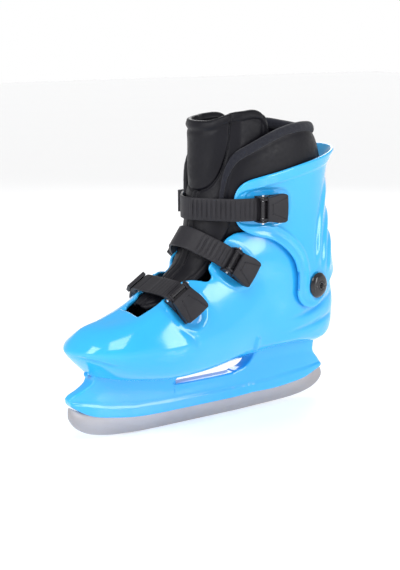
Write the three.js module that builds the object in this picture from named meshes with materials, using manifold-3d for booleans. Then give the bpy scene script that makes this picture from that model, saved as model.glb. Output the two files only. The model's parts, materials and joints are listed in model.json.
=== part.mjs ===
// A hard-shell hire ice skate for the left foot, in millimetres: +X to the toe, +Y to the outer side, +Z up.
// The runner stands on z = 0. The boot is a moulded shell on a blade holder, with a cuff that hinges at the
// ankle, a padded liner with a tongue, and three ratchet straps with lever buckles.
import * as THREE from "three";
import { mergeVertices } from "three/addons/utils/BufferGeometryUtils.js";
import Module from "manifold-3d";

const wasm = await Module();
wasm.setup();

// ---- Driving dimensions ----
const GAP = 0.3; // between pieces that touch
const SHELL_WALL = 3;
const CUFF_WALL = 3;
const LINER_WALL = 5;
const LINER_GAP = 1.6;
const LINER_FLOOR = 0.95; // where the liner's floor lies on the boot's rows, 0 being the sole's edge
const INSOLE = { thick: 3.5, wide: 0.88, lift: 1.2, toeGap: 12, heelGap: 9 };
const RUNNER_THICK = 3.6;
const ANKLE = { x: -101, z: 118 }; // the cuff's hinge axis runs along Y through this point
const TOE_SWING = 1; // how far the toe leans to the inner side
// The inner side beside the outer one: its share of the width, what toe and instep take off that share,
// how much lower the instep lies, and where along x and z each of these comes in.
const INNER_SIDE = {
  wide: 0.97, toe: 0.32, instep: 0.2, drop: 8, toeAt: [85, 140], instepAt: [10, 60], above: [90, 108],
};

// The shell's outer skin. Each row runs from the toe round the outer side to the heel, as [x, y, z].
const BOOT_ROWS = {
  sole: [
    [124, 0, 60.7], [117, 17, 59.5], [97, 29, 56.4], [58, 36, 53.6], [12, 33, 55.6],
    [-35, 29, 62.5], [-82, 31, 65], [-118, 24, 61], [-131, 0, 58.8],
  ],
  rim: [
    [141, 0, 78], [132, 25, 77], [108, 42, 71], [62, 48, 65], [12, 42, 65],
    [-38, 36, 72], [-88, 37, 74], [-129, 27, 71], [-143, 0, 67],
  ],
  widest: [
    [142, 0, 86], [133, 28, 87], [108, 46, 86], [60, 52, 85], [10, 46, 88],
    [-40, 40, 95], [-90, 40, 98], [-132, 27, 98], [-145.5, 0, 98],
  ],
  shoulder: [
    [129, 0, 100.5], [122, 21, 101], [101, 36, 104], [62, 41, 112], [16, 39, 121],
    [-34, 38, 128], [-88, 39.5, 122], [-130, 25, 120], [-143, 0, 118],
  ],
  upper: [
    [108, 0, 107], [102, 13, 108.5], [84, 24, 114.5], [55, 29, 127], [22, 31, 138],
    [-12, 35, 153], [-75, 38, 152], [-121, 24, 148], [-135, 0, 146],
  ],
  crest: [
    [84, 0, 115], [80, 4, 117.5], [71, 8, 126], [52, 10, 142], [29, 14, 161],
    [6, 23, 184], [-60, 37, 186], [-111, 23, 180], [-127, 0, 178],
  ],
};
const BOOT_NET = Object.values(BOOT_ROWS).map(wholeLoop);

// The edge of the shell's opening from the toe to the heel, seen from the side, as [x, z].
const OPENING_EDGE = [
  [91, 110.5], [81, 114.5], [73, 118], [64, 122.5], [54, 128.5], [45, 133.5], [36, 135.5], [27, 134.5],
  [20, 133], [15.5, 134.5], [14, 138], [15.5, 142], [14.5, 146], [9, 151.5], [2, 160], [-4, 167],
  [-13, 171.5], [-25, 172.5], [-42, 170], [-66, 163], [-92, 155], [-114, 149], [-137, 145],
];

// The cuff's outer skin at each height: the back, the front of the oval, and half its width.
const CUFF_RINGS = [
  { z: 92, back: -148, front: 8, half: 46.2 },
  { z: 118, back: -147.5, front: 12, half: 46 },
  { z: 142, back: -143.5, front: 15, half: 45 },
  { z: 166, back: -138, front: 17, half: 43.6 },
  { z: 190, back: -134, front: 19, half: 43.4 },
  { z: 213, back: -132, front: 21, half: 44.6 },
  { z: 231, back: -134.5, front: 22, half: 46.6 },
  { z: 246, back: -144, front: 24, half: 50 },
];
const CUFF_MIDDLE = -62; // x of the oval's widest place
const CUFF_SQUARENESS = 2.3; // 2 is an ellipse, more is squarer

// The cuff's outline from the side, [x, z]: the lower edge from front lobe to back, then the top edge.
const CUFF_OUTLINE = [
  [-24, 173.5], [-31, 171], [-44, 168], [-55, 162.5], [-66, 154], [-74, 144], [-77.5, 133], [-76.5, 122],
  [-76.5, 113], [-80, 106], [-88, 101], [-97, 99.5], [-106, 102.5], [-113, 109], [-119, 117], [-128, 125],
  [-155, 131], [-160, 243], [-141, 240.5], [-115, 237], [-95, 233.5], [-78, 230.5], [-63, 227], [-48, 224],
  [-33, 221.5], [-19, 218.5], [-12, 214], [-9, 206], [-8.5, 197], [-10.5, 187], [-15, 180],
];

// The padded collar's outer skin, as the cuff's, and its outline from the side.
const COLLAR_RINGS = [
  { z: 150, back: -128, front: 12, half: 31 },
  { z: 175, back: -128.5, front: 13, half: 32.8 },
  { z: 195, back: -129, front: 15, half: 38 },
  { z: 215, back: -127.5, front: 17, half: 40 },
  { z: 235, back: -127, front: 18, half: 41.5 },
  { z: 252, back: -124, front: 18, half: 41 },
  { z: 270, back: -119, front: 17, half: 39 },
];
const COLLAR_THICK = 4.8;
const COLLAR_OUTLINE = [
  [-8, 192], [-50, 178], [-85, 172], [-150, 172], [-150, 257], [-122, 259.5], [-104, 264], [-64, 264],
  [-46, 258], [-27, 250], [-12, 243], [-2, 232], [0, 212],
];

// The foot part of the liner ends below the shell's opening, seen from the side.
const LINER_EDGE = [
  [97, 102], [84, 102.5], [70, 106], [52, 114], [40, 121], [30, 126], [18, 130], [-8, 139], [-60, 142],
  [-150, 137],
];

// The tongue's front: [x, z] of its middle, half its width and how far its sides reach back.
const TONGUE_STATIONS = [
  [71, 114, 7, 2.5], [67, 115.8, 11, 3.5], [60, 119.5, 15, 5], [46, 127, 18, 7], [34, 136, 19, 9],
  [24, 147, 21, 14], [17.5, 163, 23, 20], [14.5, 182, 23.5, 28], [12.5, 204, 25, 36], [10.5, 230, 27.5, 40],
  [10, 252, 29.5, 42], [11, 272, 29.5, 42],
];
const TONGUE_THICK = 4.5;
const TONGUE_FOOT_TOP = 145; // the tongue is split here, clear of the cuff's swing
const TONGUE_SHIN_BOTTOM = 190;

// The blade holder from the side, [x, z].
const HOLDER_OUTLINE = [
  [143, 35], [134, 29], [120, 22], [98, 18], [76, 15], [51, 14], [-28, 14], [-55, 15], [-84, 15], [-113, 18],
  [-139, 26], [-141, 30], [-135, 38], [-129, 45], [-128, 54.8], [-106, 57.8], [-81, 58], [-54, 56], [-14, 48],
  [36, 45], [101, 55.8], [123, 59], [125, 55], [129, 51], [137, 47], [144, 44], [146, 42],
];
const HOLDER_WINDOW = [
  [36, 42.5], [33, 38.5], [-26, 38], [-34, 39.5], [-45, 42], [-51, 47], [-54, 53], [-52, 56], [-48, 56.5],
  [-25, 52], [0, 49], [25, 46.5],
];
const KEEL_LINE = [[-131, 54], [-106, 57], [-81, 57], [-54, 55], [-14, 47], [36, 44], [101, 55], [126, 58.5]];
const HOLDER_HALF = 6.5;
const KEEL_HALF = 8;
const KEEL_ENDS = { back: -130, front: 124, taper: 12 };
const SOLE_SEAT = { long: 0.985, wide: 0.94 }; // the holder's top, as shares of the sole
const FLARE = { at: 0.5, wide: 0.38 }; // how the holder narrows between the sole and the keel

// The runner from the side, [x, z]; its bottom is flat from FLAT_FRONT to FLAT_BACK.
const FLAT_FRONT = 49;
const FLAT_BACK = -30;
const RUNNER_OUTLINE = [
  [143, 29], [141, 21], [135, 14], [125, 8], [111, 4], [102, 2.5], [82, 0.8], [FLAT_FRONT, 0], [FLAT_BACK, 0],
  [-58, 0.6], [-92, 1.2], [-120, 4], [-135, 8], [-142, 13], [-144, 19], [-142, 24.5], [-135, 25.8],
  [-126, 26], [126, 26], [136, 27.3],
];
const SLOT_OUTLINE = [
  [150, 31], [136, 27.8], [126, 26.4], [-126, 26.4], [-135, 26.2], [-150, 25], [-150, -5], [150, -5],
];

// Screws that hold the blade holder, from inside the boot.
const SCREW_SPOTS = {
  front_outer: [86, 9], front_inner: [86, -12], rear_outer: [-94, 10], rear_inner: [-94, -10],
};
const SCREW = { head: 4.4, headHigh: 1.8, shank: 2, shankLong: 6.5 };
const SHELL_FLOOR = [[-130, 62.5], [-94, 69.4], [-35, 67], [12, 59.6], [58, 57.6], [86, 59], [124, 65]];

// The ankle bolts: a domed head outside the cuff and a flat nut inside the shell.
const BOLT = {
  head: 11.8, headHigh: 4.2, shank: 4, tilt: 0.19, seat: 43.2, nut: 7, nutHigh: 1.6, nutFace: 30.4,
};
const NUT_ROOM = 1.2; // round each nut, in the liner
// Shares of the head's radius and height.
const BOLT_DOME = [[0, 0], [1, 0], [1, 0.4], [0.86, 0.72], [0.5, 0.94], [0, 1]];

// The straps. Heights above the boot's surface are the same on all three.
const STRAP_HALF = 10;
const PATH_LIFT = 3.7; // the line along which lengths on a strap are measured
const STRAP_LIFT = [2.5, 4.9];
const TOOTH = { pitch: 4.6, high: 0.8 };
const PLATE_LIFT = [0.4, 2.1];
const LEVER_LIFT = [9.3, 11.3];
const AXLE = { lift: 8.7, radius: 1.3 };
// Across a buckle, from its middle: the pawl, the lever's nose hubs, the base's flanges, the lever's skirts.
const PAWL_HALF = 7.5;
const HUB = [7.9, 9.9];
const FLANGE = [10.3, 11.5];
const SKIRT = [11.8, 12.9];
const HUB_RADIUS = 2.4;
const BARREL_RADIUS = 2.1;
const LEVER_LONG = 25;
const NOSE_NOTCH = 4.2; // from the axle back to the lever's plate
const NOSE_LIFT = [9.6, 10.95];
const SKIRT_LIFT = [6.6, 10];
const BASE_LONG = { back: 25, ahead: 4 };
const STRAP_TAIL = 13; // how far the strap runs on behind the axle
// The folded end, measured back from the strap's end.
const KEEPER = { from: 22, to: 12.5, lift: [5.3, 8.6] };
const RIVET = { shank: 2.2, head: 4.2, headHigh: 1.2, deep: -2.8, behindAxle: 20, beforeEnd: 7 };
// Outlines beside the axle: how far ahead of it, and the height above the boot.
const FLANGE_OUTLINE = [[-9, 0.7], [3.6, 0.7], [3.6, 9], [1.6, 10.9], [-2, 10.9], [-3.6, 9], [-9, 4]];
const PAWL_OUTLINE = [[0, 6.7], [-7, 6.2], [-7.6, 6.9], [-1, 8.6]];

// Each strap lies in a plane along Y: start is [x, z] beside the lever's tail and up is the way it climbs.
const STRAPS = {
  top: { start: [-56, 195], up: [1, 0], axle: 27, end: 28, mount: "cuff", toothed: 0.5 },
  mid: { start: [-21.5, 136.5], up: [0.8, 0.6], axle: 24, end: 12, mount: "shell", toothed: 0.4 },
  low: { start: [45, 111.5], up: [0.53, 0.848], axle: 19, end: 6, mount: "shell", toothed: 0.4 },
};

// ---- Small tools ----
function wholeLoop(half) {
  // Adds the inner side to a row that runs from the toe round the outer side to the heel.
  const step = THREE.MathUtils.smoothstep;
  const lean = (x) => -TOE_SWING * step(x, 10, 142);
  const outer = half.map(([x, y, z]) => new THREE.Vector3(x, y + lean(x), z));
  const inner = half.slice(1, -1).reverse().map(([x, y, z]) => {
    const instep = step(z, ...INNER_SIDE.above) * step(x, ...INNER_SIDE.instepAt);
    const toe = step(x, ...INNER_SIDE.toeAt);
    const share = INNER_SIDE.wide - INNER_SIDE.toe * toe - INNER_SIDE.instep * instep;
    return new THREE.Vector3(x, -share * y + lean(x), z - INNER_SIDE.drop * instep);
  });
  return [...outer, ...inner];
}

function catmull(a, b, c, d, t) {
  return 0.5 * (2 * b + (c - a) * t + (2 * a - 5 * b + 4 * c - d) * t * t + (3 * b - a - 3 * c + d) * t ** 3);
}

function catmullPoint(p, t) {
  return new THREE.Vector3(...["x", "y", "z"].map((k) => catmull(p[0][k], p[1][k], p[2][k], p[3][k], t)));
}

function netPoint(net, u, v) {
  // A smooth surface through a net of points: u goes round the closed rows, v from the first row to the last.
  const columns = net[0].length;
  const last = net.length - 1;
  const column = Math.floor(u);
  const row = Math.min(Math.floor(v), last - 1);
  const inRow = (r) => {
    const clamped = net[THREE.MathUtils.clamp(r, 0, last)];
    const around = [-1, 0, 1, 2].map((k) => clamped[(column + k + 2 * columns) % columns]);
    return catmullPoint(around, u - column);
  };
  return catmullPoint([row - 1, row, row + 1, row + 2].map(inRow), v - row);
}

function bootPoint(u, v, inset = 0) {
  // A point of the shell's skin, moved inwards by inset.
  const columns = BOOT_NET[0].length;
  const at = netPoint(BOOT_NET, u, v);
  if (!inset) return at;
  const step = 0.05;
  const low = Math.max(v - step, 0);
  const high = Math.min(v + step, BOOT_NET.length - 1);
  const before = netPoint(BOOT_NET, (u - step + columns) % columns, v);
  const along = netPoint(BOOT_NET, (u + step) % columns, v).sub(before);
  const upward = netPoint(BOOT_NET, u, high).sub(netPoint(BOOT_NET, u, low));
  return at.addScaledVector(along.cross(upward).normalize(), -inset);
}

function loftRings(rings) {
  // A closed solid through rings of equal length, each a loop whose points j and N - j face each other.
  const count = rings[0].length;
  const half = count / 2;
  const index = [];
  const quad = (a, b, c, d) => index.push(a, b, c, a, c, d);
  rings.slice(1).forEach((_, r) => {
    for (let j = 0; j < count; j++) {
      const next = (j + 1) % count;
      quad(r * count + j, r * count + next, (r + 1) * count + next, (r + 1) * count + j);
    }
  });
  const cap = (base, up) => {
    const face = (...corners) => {
      const order = up ? corners : corners.reverse();
      for (let k = 2; k < order.length; k++) {
        index.push(base + order[0], base + order[k - 1], base + order[k]);
      }
    };
    face(0, 1, count - 1);
    for (let j = 1; j < half - 1; j++) face(j, j + 1, count - j - 1, count - j);
    face(half - 1, half, half + 1);
  };
  cap(0, false);
  cap((rings.length - 1) * count, true);
  return solid(new THREE.BufferGeometry().setFromPoints(rings.flat()).setIndex(index));
}

function solid(geometry) {
  const bare = geometry.clone();
  bare.deleteAttribute("normal");
  bare.deleteAttribute("uv");
  const merged = mergeVertices(bare, 1e-3);
  const made = new wasm.Manifold(new wasm.Mesh({
    numProp: 3,
    vertProperties: merged.attributes.position.array,
    triVerts: new Uint32Array(merged.index.array),
  }));
  if (made.volume() > 0) return made;
  const flipped = merged.index.array.slice();
  for (let k = 0; k < flipped.length; k += 3) [flipped[k], flipped[k + 1]] = [flipped[k + 1], flipped[k]];
  return new wasm.Manifold(new wasm.Mesh({
    numProp: 3,
    vertProperties: merged.attributes.position.array,
    triVerts: new Uint32Array(flipped),
  }));
}

function geometryOf(manifold) {
  const mesh = manifold.getMesh();
  const geometry = new THREE.BufferGeometry();
  geometry.setAttribute("position", new THREE.BufferAttribute(new Float32Array(mesh.vertProperties), 3));
  geometry.setIndex(new THREE.BufferAttribute(new Uint32Array(mesh.triVerts), 1));
  geometry.computeVertexNormals();
  return geometry;
}

function sideExtrusion(outline, from, to) {
  // An outline seen from the side, [x, z], drawn out along Y.
  const shape = new THREE.Shape(outline.map(([x, z]) => new THREE.Vector2(x, z)));
  const geometry = new THREE.ExtrudeGeometry(shape, { depth: to - from, bevelEnabled: false });
  return solid(geometry.rotateX(Math.PI / 2).translate(0, to, 0));
}

const skate = new THREE.Group();

function add(group, name, shape, material) {
  const geometry = shape instanceof THREE.BufferGeometry ? shape : geometryOf(shape);
  const mesh = new THREE.Mesh(geometry, material.clone());
  mesh.name = name;
  group.add(mesh);
}

function rod(from, to, radius, sides = 12) {
  // A cylinder between two points.
  const way = to.clone().sub(from);
  const turn = new THREE.Quaternion().setFromUnitVectors(new THREE.Vector3(0, 1, 0), way.clone().normalize());
  const geometry = new THREE.CylinderGeometry(radius, radius, way.length(), sides);
  const middle = from.clone().lerp(to, 0.5);
  return solid(geometry.applyQuaternion(turn).translate(middle.x, middle.y, middle.z));
}

// ---- Materials ----
const plastic = (color, roughness) => new THREE.MeshStandardMaterial({ color, roughness, metalness: 0 });
const metal = (color, roughness) => new THREE.MeshStandardMaterial({ color, roughness, metalness: 1 });
const bluePlastic = plastic(0x29a3f0, 0.18);
const charcoalPlastic = plastic(0x3a393d, 0.5);
const glossyBlack = plastic(0x141416, 0.12);
const leather = plastic(0x26252a, 0.55);
const fabric = plastic(0x1c1c1f, 0.95);
const steel = metal(0xa8a6ab, 0.35);
const chrome = metal(0xd8d8dc, 0.15);

// ---- Lofted shapes ----
function bootRing(v, inset, around) {
  const columns = BOOT_NET[0].length;
  return Array.from({ length: around }, (_, j) => bootPoint((j * columns) / around, v, inset));
}

function bootSolid(inset, fromRow, around, levels) {
  const top = BOOT_NET.length - 1;
  const rows = Array.from({ length: levels + 1 }, (_, k) => THREE.MathUtils.lerp(fromRow, top, k / levels));
  return loftRings(rows.map((v) => bootRing(v, inset, around)));
}

function aboveLine(line) {
  // Everything above a line that runs from the toe to the heel, seen from the side.
  const [first, last] = [line[0], line.at(-1)];
  return sideExtrusion([...line, [-190, last[1]], [-190, 320], [first[0] + 60, 320]], -90, 90);
}

function ovalRing(ring, inset, around) {
  const power = 2 / CUFF_SQUARENESS;
  return Array.from({ length: around }, (_, j) => {
    const angle = (2 * Math.PI * j) / around;
    const [c, s] = [Math.cos(angle), Math.sin(angle)];
    const reach = (c > 0 ? ring.front - CUFF_MIDDLE : CUFF_MIDDLE - ring.back) - inset;
    return new THREE.Vector3(
      CUFF_MIDDLE + reach * Math.sign(c) * Math.abs(c) ** power,
      (ring.half - inset) * Math.sign(s) * Math.abs(s) ** power,
      ring.z,
    );
  });
}

function ringAt(rings, z) {
  const k = THREE.MathUtils.clamp(rings.findIndex((r) => r.z > z) - 1, 0, rings.length - 2);
  const t = (z - rings[k].z) / (rings[k + 1].z - rings[k].z);
  const near = [k - 1, k, k + 1, k + 2].map((i) => rings[THREE.MathUtils.clamp(i, 0, rings.length - 1)]);
  const blend = (key) => catmull(...near.map((r) => r[key]), t);
  return { z, back: blend("back"), front: blend("front"), half: blend("half") };
}

function ovalTube(rings, thick, around, levels) {
  const [low, high] = [rings[0].z, rings.at(-1).z];
  const column = (inset, over) => {
    const heights = Array.from({ length: levels + 1 }, (_, k) =>
      THREE.MathUtils.lerp(low - over, high + over, k / levels));
    return loftRings(heights.map((z) => {
      const ring = ringAt(rings, THREE.MathUtils.clamp(z, low, high - 0.01));
      return ovalRing({ ...ring, z }, inset, around);
    }));
  };
  return column(0, 0).subtract(column(thick, 1));
}

function tongue() {
  const side = 9;
  const rings = [];
  const last = TONGUE_STATIONS.length - 1;
  for (let s = 0; s <= last; s += 0.5) {
    const k = Math.min(Math.floor(s), last - 1);
    const near = [k - 1, k, k + 1, k + 2].map((i) => TONGUE_STATIONS[THREE.MathUtils.clamp(i, 0, last)]);
    const [x, z, half, deep] = [0, 1, 2, 3].map((i) => catmull(...near.map((p) => p[i]), s - k));
    const way = new THREE.Vector2(near[2][0] - near[1][0], near[2][1] - near[1][1]).normalize();
    const out = new THREE.Vector2(way.y, -way.x);
    const arc = (q, inset) => {
      const angle = (q * Math.PI) / 2;
      const back = inset + (deep - inset) * (1 - Math.cos(angle));
      return new THREE.Vector3(x - out.x * back, (half - inset) * Math.sin(angle), z - out.y * back);
    };
    const steps = Array.from({ length: side + 1 }, (_, j) => -0.93 + (1.86 * j) / side);
    rings.push([...steps.map((q) => arc(q, 0)), ...steps.reverse().map((q) => arc(q, TONGUE_THICK))]);
  }
  return loftRings(rings);
}

// ---- Boot and holder ----
function holder() {
  const around = 40;
  const top = bootRing(0, 0, around)
    .map((p) => new THREE.Vector3(p.x * SOLE_SEAT.long, p.y * SOLE_SEAT.wide, p.z - 3 * GAP));
  const bottom = top.map((p) => {
    const x = THREE.MathUtils.clamp(p.x, KEEL_ENDS.back + 1, KEEL_ENDS.front - 1);
    const fromEnd = Math.min(KEEL_ENDS.front - x, x - KEEL_ENDS.back);
    const taper = Math.min(1, fromEnd / KEEL_ENDS.taper);
    return new THREE.Vector3(x, KEEL_HALF * Math.sign(Math.round(p.y * 10)) * taper, heightOn(KEEL_LINE, x));
  });
  const middle = top.map((p, j) =>
    p.clone().lerp(bottom[j], FLARE.at).setY(THREE.MathUtils.lerp(bottom[j].y, p.y, FLARE.wide)));
  const beam = sideExtrusion(HOLDER_OUTLINE, -HOLDER_HALF, HOLDER_HALF);
  const slotHalf = RUNNER_THICK / 2 + GAP;
  return loftRings([bottom, middle, top]).add(beam)
    .subtract(sideExtrusion(HOLDER_WINDOW, -60, 60))
    .subtract(sideExtrusion(SLOT_OUTLINE, -slotHalf, slotHalf));
}

function heightOn(line, x) {
  const k = THREE.MathUtils.clamp(line.findIndex((p) => p[0] > x), 1, line.length - 1);
  return THREE.MathUtils.mapLinear(x, line[k - 1][0], line[k][0], line[k - 1][1], line[k][1]);
}

let shell = bootSolid(0, 0, 40, 10)
  .subtract(bootSolid(SHELL_WALL, 0.42, 32, 7))
  .subtract(aboveLine(OPENING_EDGE));
let cuff = ovalTube(CUFF_RINGS, CUFF_WALL, 36, 8).intersect(sideExtrusion(CUFF_OUTLINE, -80, 80));
let blade = holder();
const linerOutside = SHELL_WALL + LINER_GAP;
let liner = bootSolid(linerOutside, 0.62, 28, 7)
  .subtract(bootSolid(linerOutside + LINER_WALL, LINER_FLOOR, 24, 6))
  .subtract(aboveLine(LINER_EDGE));
const collar = ovalTube(COLLAR_RINGS, COLLAR_THICK, 28, 6).intersect(sideExtrusion(COLLAR_OUTLINE, -80, 80));
const wholeTongue = tongue();
const below = (z) => sideExtrusion([[-190, 20], [190, 20], [190, z], [-190, z]], -90, 90);
const insoleBottom = bootRing(LINER_FLOOR, linerOutside + LINER_WALL, 24).map((p, _, ring) => {
  const x = THREE.MathUtils.clamp(p.x, ring[ring.length / 2].x + INSOLE.heelGap, ring[0].x - INSOLE.toeGap);
  return new THREE.Vector3(x, p.y * INSOLE.wide, p.z + INSOLE.lift);
});
const insoleTop = insoleBottom.map((p) => p.clone().setZ(p.z + INSOLE.thick));

// ---- Sole screws ----
const screws = Object.entries(SCREW_SPOTS).map(([spot, [x, y]]) => {
  const floor = heightOn(SHELL_FLOOR, x);
  const at = (z) => new THREE.Vector3(x, y, z);
  const tip = floor - SCREW.headHigh - SCREW.shankLong;
  const hole = rod(at(tip - 1), at(floor), SCREW.shank + GAP, 12);
  const seat = rod(at(floor - SCREW.headHigh - GAP), at(floor + 6), SCREW.head + GAP, 16);
  shell = shell.subtract(hole).subtract(seat);
  blade = blade.subtract(hole);
  const shank = rod(at(tip), at(floor - 0.5), SCREW.shank, 12);
  return ["sole_screw_" + spot, rod(at(floor - SCREW.headHigh), at(floor), SCREW.head).add(shank)];
});

// ---- Ankle bolts ----
const bolts = [["outer", 1], ["inner", -1]].flatMap(([name, side]) => {
  const at = (y) => new THREE.Vector3(ANKLE.x, side * y, ANKLE.z);
  const [deep, proud] = [20, 60]; // past the wall on both sides
  const hole = rod(at(deep), at(proud), BOLT.shank + GAP, 12);
  shell = shell.subtract(hole);
  cuff = cuff.subtract(hole);
  liner = liner.subtract(rod(at(BOLT.nutFace - BOLT.nutHigh - 1), at(proud), BOLT.nut + NUT_ROOM, 12));
  const dome = BOLT_DOME.map(([r, h]) => new THREE.Vector2(r * BOLT.head, h * BOLT.headHigh));
  const turn = side > 0 ? BOLT.tilt : Math.PI - BOLT.tilt;
  const domed = new THREE.LatheGeometry(dome, 20).rotateZ(turn);
  const head = solid(domed.translate(ANKLE.x, side * BOLT.seat, ANKLE.z));
  const nutInside = at(BOLT.nutFace - BOLT.nutHigh);
  const nut = rod(nutInside, at(BOLT.nutFace), BOLT.nut, 6);
  return [
    ["ankle_bolt_" + name, head.add(rod(nutInside, at(BOLT.seat + 1), BOLT.shank, 12)), glossyBlack],
    ["ankle_nut_" + name, nut.subtract(hole), steel],
  ];
});

// ---- Straps and buckles ----
function strapPlane({ start: [x, z], up: [ux, uz] }) {
  // Inside this frame a is along Y, b climbs the boot and c runs across the strap.
  const basis = new THREE.Matrix4().makeBasis(
    new THREE.Vector3(0, 1, 0),
    new THREE.Vector3(ux, 0, uz),
    new THREE.Vector3(uz, 0, -ux),
  );
  return basis.setPosition(x, 0, z);
}

function tautPath(solids, plane) {
  // The line of a band pulled tight round the solids, as stations with a point and an outward normal.
  const reach = [[-90, -45], [90, -45], [90, 110], [-90, 110]];
  const slab = acrossSolid(plane, reach, -STRAP_HALF - 0.5, STRAP_HALF + 0.5);
  const inverse = plane.clone().invert();
  const points = solids.flatMap((s) => {
    const flat = s.intersect(slab).getMesh().vertProperties;
    const found = [];
    for (let k = 0; k < flat.length; k += 3) {
      found.push(new THREE.Vector3().fromArray(flat, k).applyMatrix4(inverse));
    }
    return found;
  }).map((p) => new THREE.Vector2(p.x, p.y));
  const stations = [];
  for (let degrees = -15; degrees <= 195; degrees += 5) {
    const angle = THREE.MathUtils.degToRad(degrees);
    const normal = new THREE.Vector2(Math.cos(angle), Math.sin(angle));
    const far = points.reduce((best, p) => (p.dot(normal) > best.dot(normal) ? p : best));
    const at = far.clone().addScaledVector(normal, PATH_LIFT);
    const long = stations.length ? stations.at(-1).long + at.distanceTo(stations.at(-1).at) : 0;
    stations.push({ at, normal, long });
  }
  return stations;
}

function onPath(path, long, lift) {
  const k = THREE.MathUtils.clamp(path.findIndex((s) => s.long > long), 1, path.length - 1);
  const [a, b] = [path[k - 1], path[k]];
  const t = b.long > a.long ? (long - a.long) / (b.long - a.long) : 0;
  const normal = a.normal.clone().lerp(b.normal, t).normalize();
  return a.at.clone().lerp(b.at, t).addScaledVector(normal, lift - PATH_LIFT);
}

function normalOn(path, long) {
  return onPath(path, long, PATH_LIFT + 1).sub(onPath(path, long, PATH_LIFT));
}

function lengthAtHeight(path, height, fromEnd) {
  const lengths = Array.from({ length: Math.ceil(path.at(-1).long * 4) }, (_, k) => k / 4);
  const above = lengths.filter((s) => onPath(path, s, PATH_LIFT).y >= height);
  return fromEnd ? above.at(-1) : above[0];
}

function acrossSolid(plane, outline, from, to) {
  // An outline in a strap's plane, [a, b], drawn out across the strap.
  // Points on a straight stretch are left out.
  const points = outline.map((p) => (Array.isArray(p) ? new THREE.Vector2(...p) : p));
  const corners = points.filter((p, k, all) => {
    const before = all.at(k - 1);
    const chord = new THREE.Vector2().subVectors(all[(k + 1) % all.length], before);
    return k === 0 || Math.abs(chord.cross(p.clone().sub(before))) > 0.01 * chord.length();
  });
  const shape = new THREE.Shape(corners);
  const geometry = new THREE.ExtrudeGeometry(shape, { depth: to - from, bevelEnabled: false });
  return solid(geometry.translate(0, 0, from).applyMatrix4(plane));
}

function band(plane, path, [from, to], [inner, outer], [left, right], teeth = null) {
  const steps = Math.max(1, Math.round((to - from) / 5));
  const lengths = Array.from({ length: steps + 1 }, (_, k) => THREE.MathUtils.lerp(from, to, k / steps));
  const outside = lengths.filter((s) => !teeth || s < teeth[0] || s > teeth[1]).map((s) => [s, outer]);
  if (teeth) {
    for (let s = teeth[0]; s + TOOTH.pitch < teeth[1]; s += TOOTH.pitch) {
      outside.push([s, outer], [s + 0.3, outer + TOOTH.high]);
      outside.push([s + TOOTH.pitch * 0.55, outer + TOOTH.high], [s + TOOTH.pitch * 0.62, outer]);
    }
    outside.sort((p, q) => p[0] - q[0]);
  }
  for (let k = outside.length - 1; k > 0; k--) {
    if (outside[k][0] - outside[k - 1][0] < 0.2) outside.splice(k, 1);
  }
  const outline = [
    ...outside.map(([s, lift]) => onPath(path, s, lift)),
    ...lengths.reverse().map((s) => onPath(path, s, inner)),
  ];
  return acrossSolid(plane, outline, left, right);
}

function across(plane, centre, radius, from, to, sides = 10) {
  const point = (c) => new THREE.Vector3(centre.x, centre.y, c).applyMatrix4(plane);
  return rod(point(from), point(to), radius, sides);
}

function alongNormal(plane, path, long, from, to, radius, sides = 10) {
  const point = (lift) => {
    const p = onPath(path, long, lift);
    return new THREE.Vector3(p.x, p.y, 0).applyMatrix4(plane);
  };
  return rod(point(from), point(to), radius, sides);
}

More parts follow.
